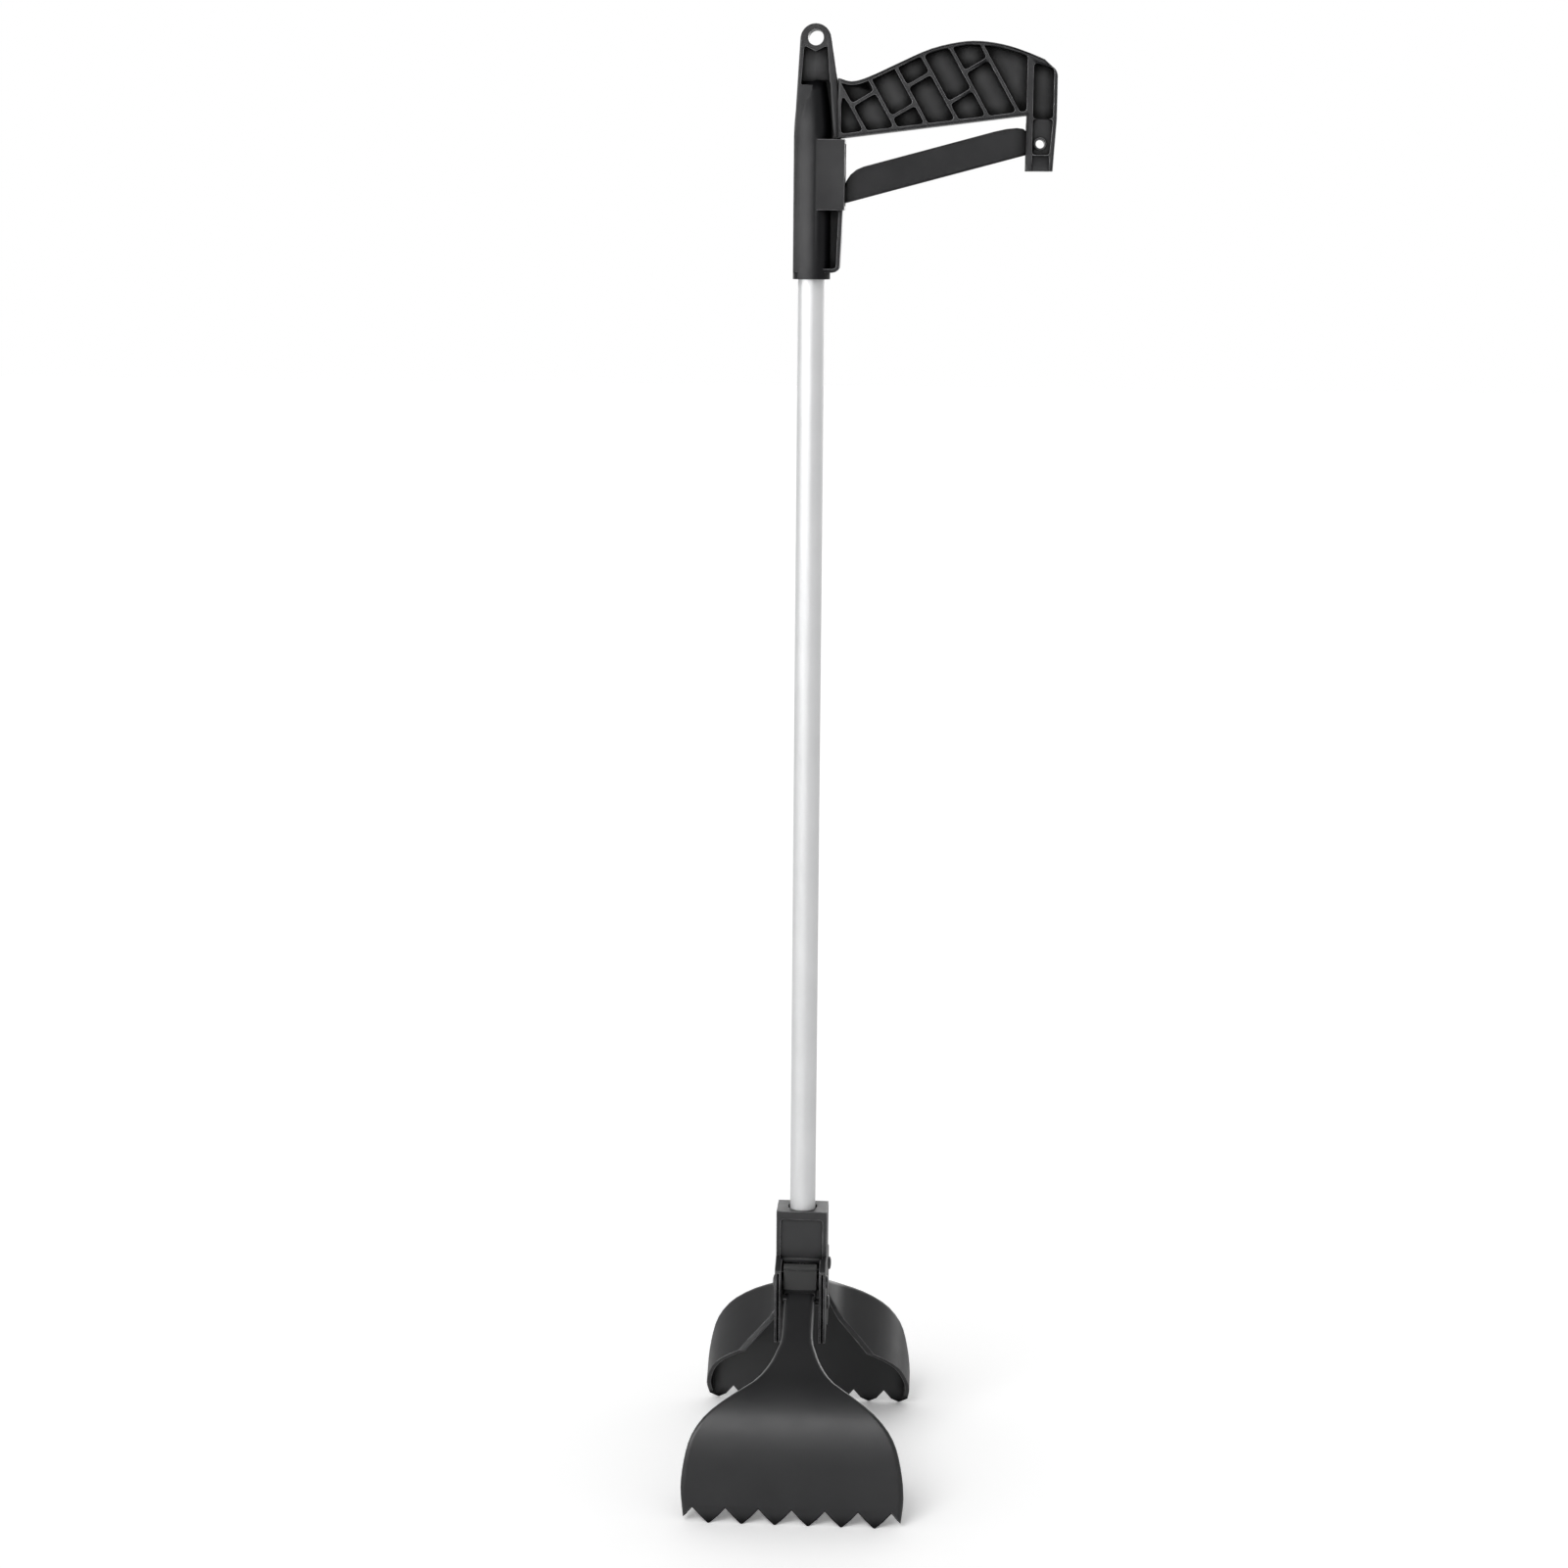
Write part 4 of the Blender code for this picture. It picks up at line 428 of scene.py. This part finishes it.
def drawn_along_x(profile, low, high, rounding):
    """A closed (y, z) profile carried along x, shrinking near each end by a quarter round of the radius."""
    outline = np.asarray(profile)
    middle = outline.mean(0)
    quarter = np.linspace(0, math.pi / 2, ROUND_STEPS)
    inset = rounding * (1 - np.sin(quarter))
    ahead = rounding * (1 - np.cos(quarter))
    places = np.concatenate((low + ahead, (high - ahead)[::-1]))
    insets = np.concatenate((inset, inset[::-1]))
    reach = np.linalg.norm(outline - middle, axis=1)
    shares = 1 - insets[:, None] / reach
    rings = middle + (outline - middle) * shares[:, :, None]
    across = np.broadcast_to(places[:, None, None], (*shares.shape, 1))
    points = np.concatenate((across, rings), axis=2).reshape(-1, 3)
    return points, open_faces(len(places), len(outline))


# Pieces


def fine_tube():
    """The drawn tube: two radii between its ends, each edge broken by a small chamfer."""
    low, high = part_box("main_tube")
    outer = (high.x - low.x) / 2
    inner = outer - TUBE_WALL
    broken = TUBE_CHAMFER
    profile = (
        (outer, low.z + broken), (outer, high.z - broken), (outer - broken, high.z), (inner, high.z),
        (inner, low.z), (outer - broken, low.z),
    )
    centre = ((low.x + high.x) / 2, (low.y + high.y) / 2, 0)
    made = made_piece("drawn_tube", *revolved(profile, centre, TUBE_STEPS), "main_tube", "satin_tube")
    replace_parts(made, "main_tube")


def dome(rim, seat, crown):
    """From the axis at the crown out to the rim: height = seat + (crown - seat) cos(quarter turn)."""
    turn = np.linspace(0, math.pi / 2, DOME_STEPS)
    return np.stack((rim * np.sin(turn), seat + (crown - seat) * np.cos(turn)), axis=-1)


def pin_heads():
    """Each pin has a low domed head, and the cap pressed on its other end has the same dome."""
    for pin in ("front_jaw_pin", "rear_jaw_pin", "crosshead_pin"):
        low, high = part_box(pin)
        rim = (high.y - low.y) / 2
        shank = rim - PIN_RIM
        centre = (0, (low.y + high.y) / 2, (low.z + high.z) / 2)
        seat = low.x + HEAD_THICKNESS
        outline = np.vstack((dome(rim, seat, low.x)[::-1], [(0, high.x), (shank, high.x), (shank, seat)]))
        turned = revolved(outline[::-1], centre, PIN_TURN_STEPS, "X")
        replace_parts(made_piece(f"{pin}_domed", *turned, pin, "blackened_steel"), pin)
        cap = f"{pin}_cap"
        low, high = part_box(cap)
        outline = np.vstack((dome(rim, low.x + CAP_EDGE, high.x), [(rim, low.x), (0, high.x - CAP_EDGE)]))
        turned = revolved(outline, centre, PIN_TURN_STEPS, "X")
        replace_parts(made_piece(f"{cap}_domed", *turned, cap, "blackened_steel"), cap)


def fine_spring():
    """Wire wound round its centre line: c + w (cos b outward + sin b across), c = (R cos t, R sin t, z).
    """
    low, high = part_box("return_spring")
    wire = SPRING_WIRE / 2
    radius = (high.x - low.x) / 2 - wire
    middle = ((low.x + high.x) / 2, (low.y + high.y) / 2, 0)
    share = np.linspace(0, 1, SPRING_TURNS * SPRING_STEPS + 1)
    turn = math.tau * SPRING_TURNS * share
    rise = (high.z - low.z - SPRING_WIRE) / (math.tau * SPRING_TURNS)
    outward = np.stack((np.cos(turn), np.sin(turn), 0 * turn), axis=-1)
    onward = np.stack((-radius * np.sin(turn), radius * np.cos(turn), rise + 0 * turn), axis=-1)
    across = np.cross(onward / np.hypot(radius, rise), outward)
    centre = radius * outward + (0, 0, low.z + wire) + np.outer(rise * turn, (0, 0, 1))
    about = np.linspace(0, math.tau, SPRING_SIDES, endpoint=False)[:, None]
    ring = np.cos(about) * outward[:, None] + np.sin(about) * across[:, None]
    points = (centre[:, None] + wire * ring).reshape(-1, 3) + middle
    faces = open_faces(len(share), SPRING_SIDES)
    made = made_piece("wound_spring", points, faces, "return_spring", "spring_steel")
    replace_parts(made, "return_spring")
    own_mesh(made)


def hood_faces():
    """The flat front of each jaw's knuckle, a lip along its top over a shallow groove."""
    low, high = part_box("main_tube")
    middle = (low.x + high.x) / 2
    for node, side in (("front_jaw", -1), ("rear_jaw", 1)):
        profile = np.array(HOOD_PROFILE)[::side] * (side, 1)
        drawn = drawn_along_x(profile, middle - HOOD_HALF, middle + HOOD_HALF, HOOD_ROUND)
        made_piece(f"{node}_face", *drawn, node, "jaw_plastic")


def softened(name):
    """A copy of a solid's mesh with its corners merged, its flats joined and its curves shaded smooth."""
    mesh = frame["nodes"][name].data.copy()
    shape = bmesh.new()
    shape.from_mesh(mesh)
    bmesh.ops.remove_doubles(shape, verts=shape.verts, dist=MERGE_GAP)
    bmesh.ops.dissolve_limit(shape, angle_limit=FLAT_TURN, verts=shape.verts, edges=shape.edges)
    shape.to_mesh(mesh)
    shape.free()
    mesh.shade_smooth()
    mesh.set_sharp_from_angle(angle=SHARP_TURN)
    made = bpy.data.objects.new(f"{name}_skin", mesh)
    bpy.context.scene.collection.objects.link(made)
    evened = made.modifiers.new("evened", "WEIGHTED_NORMAL")
    evened.keep_sharp = True
    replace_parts(made, name)
    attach(made, body_of[name])


# Setting


def stage_floor():
    """A wide pale square, which the camera sees burnt out to white and the object mirrors as pale grey."""
    made, tree, shader, _ = shader_of("pale_floor")
    ray = tree.nodes.new("ShaderNodeLightPath").outputs["Is Camera Ray"]
    tree.links.new(ranged(tree, ray, (0.0, 1.0), (FLOOR_GLOW, FLOOR_SEEN)), shader["Base Color"])
    shader["Roughness"].default_value = 1.0
    shader["Specular IOR Level"].default_value = 0.0
    mesh = bpy.data.meshes.new("floor")
    corners = [(x * FLOOR_REACH, y * FLOOR_REACH, 0) for x, y in ((-1, -1), (1, -1), (1, 1), (-1, 1))]
    mesh.from_pydata(corners, [], [(0, 1, 2, 3)])
    mesh.materials.append(made)
    floor = bpy.data.objects.new("floor", mesh)
    bpy.context.scene.collection.objects.link(floor)


def light_scene():
    """A white room that mirrors brighter at its windows, and one broad soft sun from the upper left."""
    world = bpy.data.worlds.new("studio")
    world.use_nodes = True
    tree = world.node_tree
    ray = tree.nodes.new("ShaderNodeLightPath").outputs
    way = tree.nodes.new("ShaderNodeTexCoord").outputs["Generated"]
    height = along(tree, way, (0.0, 0.0, 1.0))
    mirrored = ranged(tree, height, (CEILING_FOOT, 1.0), (ROOM_MIRRORED, CEILING_MIRRORED))
    for window_way, window_height, window_half, power in WINDOWS:
        off = worked(tree, "ABSOLUTE", worked(tree, "SUBTRACT", height, window_height))
        tall = ranged(tree, off, (0.0, window_half), (1.0, 0.0))
        wide = ranged(tree, along(tree, way, window_way), (WINDOW_EDGE, 1.0), (0.0, power))
        mirrored = worked(tree, "ADD", mirrored, worked(tree, "MULTIPLY", tall, wide))
    lit = chosen(tree, ray["Is Glossy Ray"], ROOM, mirrored)
    background = tree.nodes["Background"].inputs
    tree.links.new(chosen(tree, ray["Is Camera Ray"], lit, BACKDROP_SEEN), background["Strength"])
    background["Color"].default_value = (1.0, 1.0, 1.0, 1.0)
    bpy.context.scene.world = world
    data = bpy.data.lights.new("key", "SUN")
    data.angle = KEY_SPREAD
    data.energy = KEY_POWER
    key = bpy.data.objects.new("key", data)
    key.rotation_euler = Vector(KEY_WAY).to_track_quat("Z", "Y").to_euler()
    key.visible_glossy = False
    bpy.context.scene.collection.objects.link(key)


def place_camera():
    """The camera turned about the tube's axis, then pitched down and rolled."""
    data = bpy.data.cameras.new("camera")
    data.sensor_width = SENSOR * MILLIMETRES
    data.lens = SENSOR * MILLIMETRES * FOCAL_SHARE
    camera = bpy.data.objects.new("camera", data)
    low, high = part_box("main_tube")
    axis_x = (low.x + high.x) / 2
    side = Vector((math.cos(CAMERA_AZIMUTH), math.sin(CAMERA_AZIMUTH), 0))
    back = Vector((math.sin(CAMERA_AZIMUTH), -math.cos(CAMERA_AZIMUTH), 0))
    place = Vector((axis_x, 0, CAMERA_HEIGHT)) + back * CAMERA_DISTANCE + side * CAMERA_SIDE
    turn = Matrix.Rotation(CAMERA_AZIMUTH, 4, "Z") @ Matrix.Rotation(math.pi / 2 - CAMERA_PITCH, 4, "X")
    camera.matrix_world = Matrix.Translation(place) @ turn @ Matrix.Rotation(CAMERA_ROLL, 4, "Z")
    bpy.context.scene.collection.objects.link(camera)
    bpy.context.scene.camera = camera


finish_nodes()
fine_tube()
pin_heads()
fine_spring()
hood_faces()
for name, node in frame["nodes"].items():
    if not node.hide_render:
        softened(name)
stage_floor()
light_scene()
place_camera()
bpy.context.scene.view_settings.view_transform = "Standard"
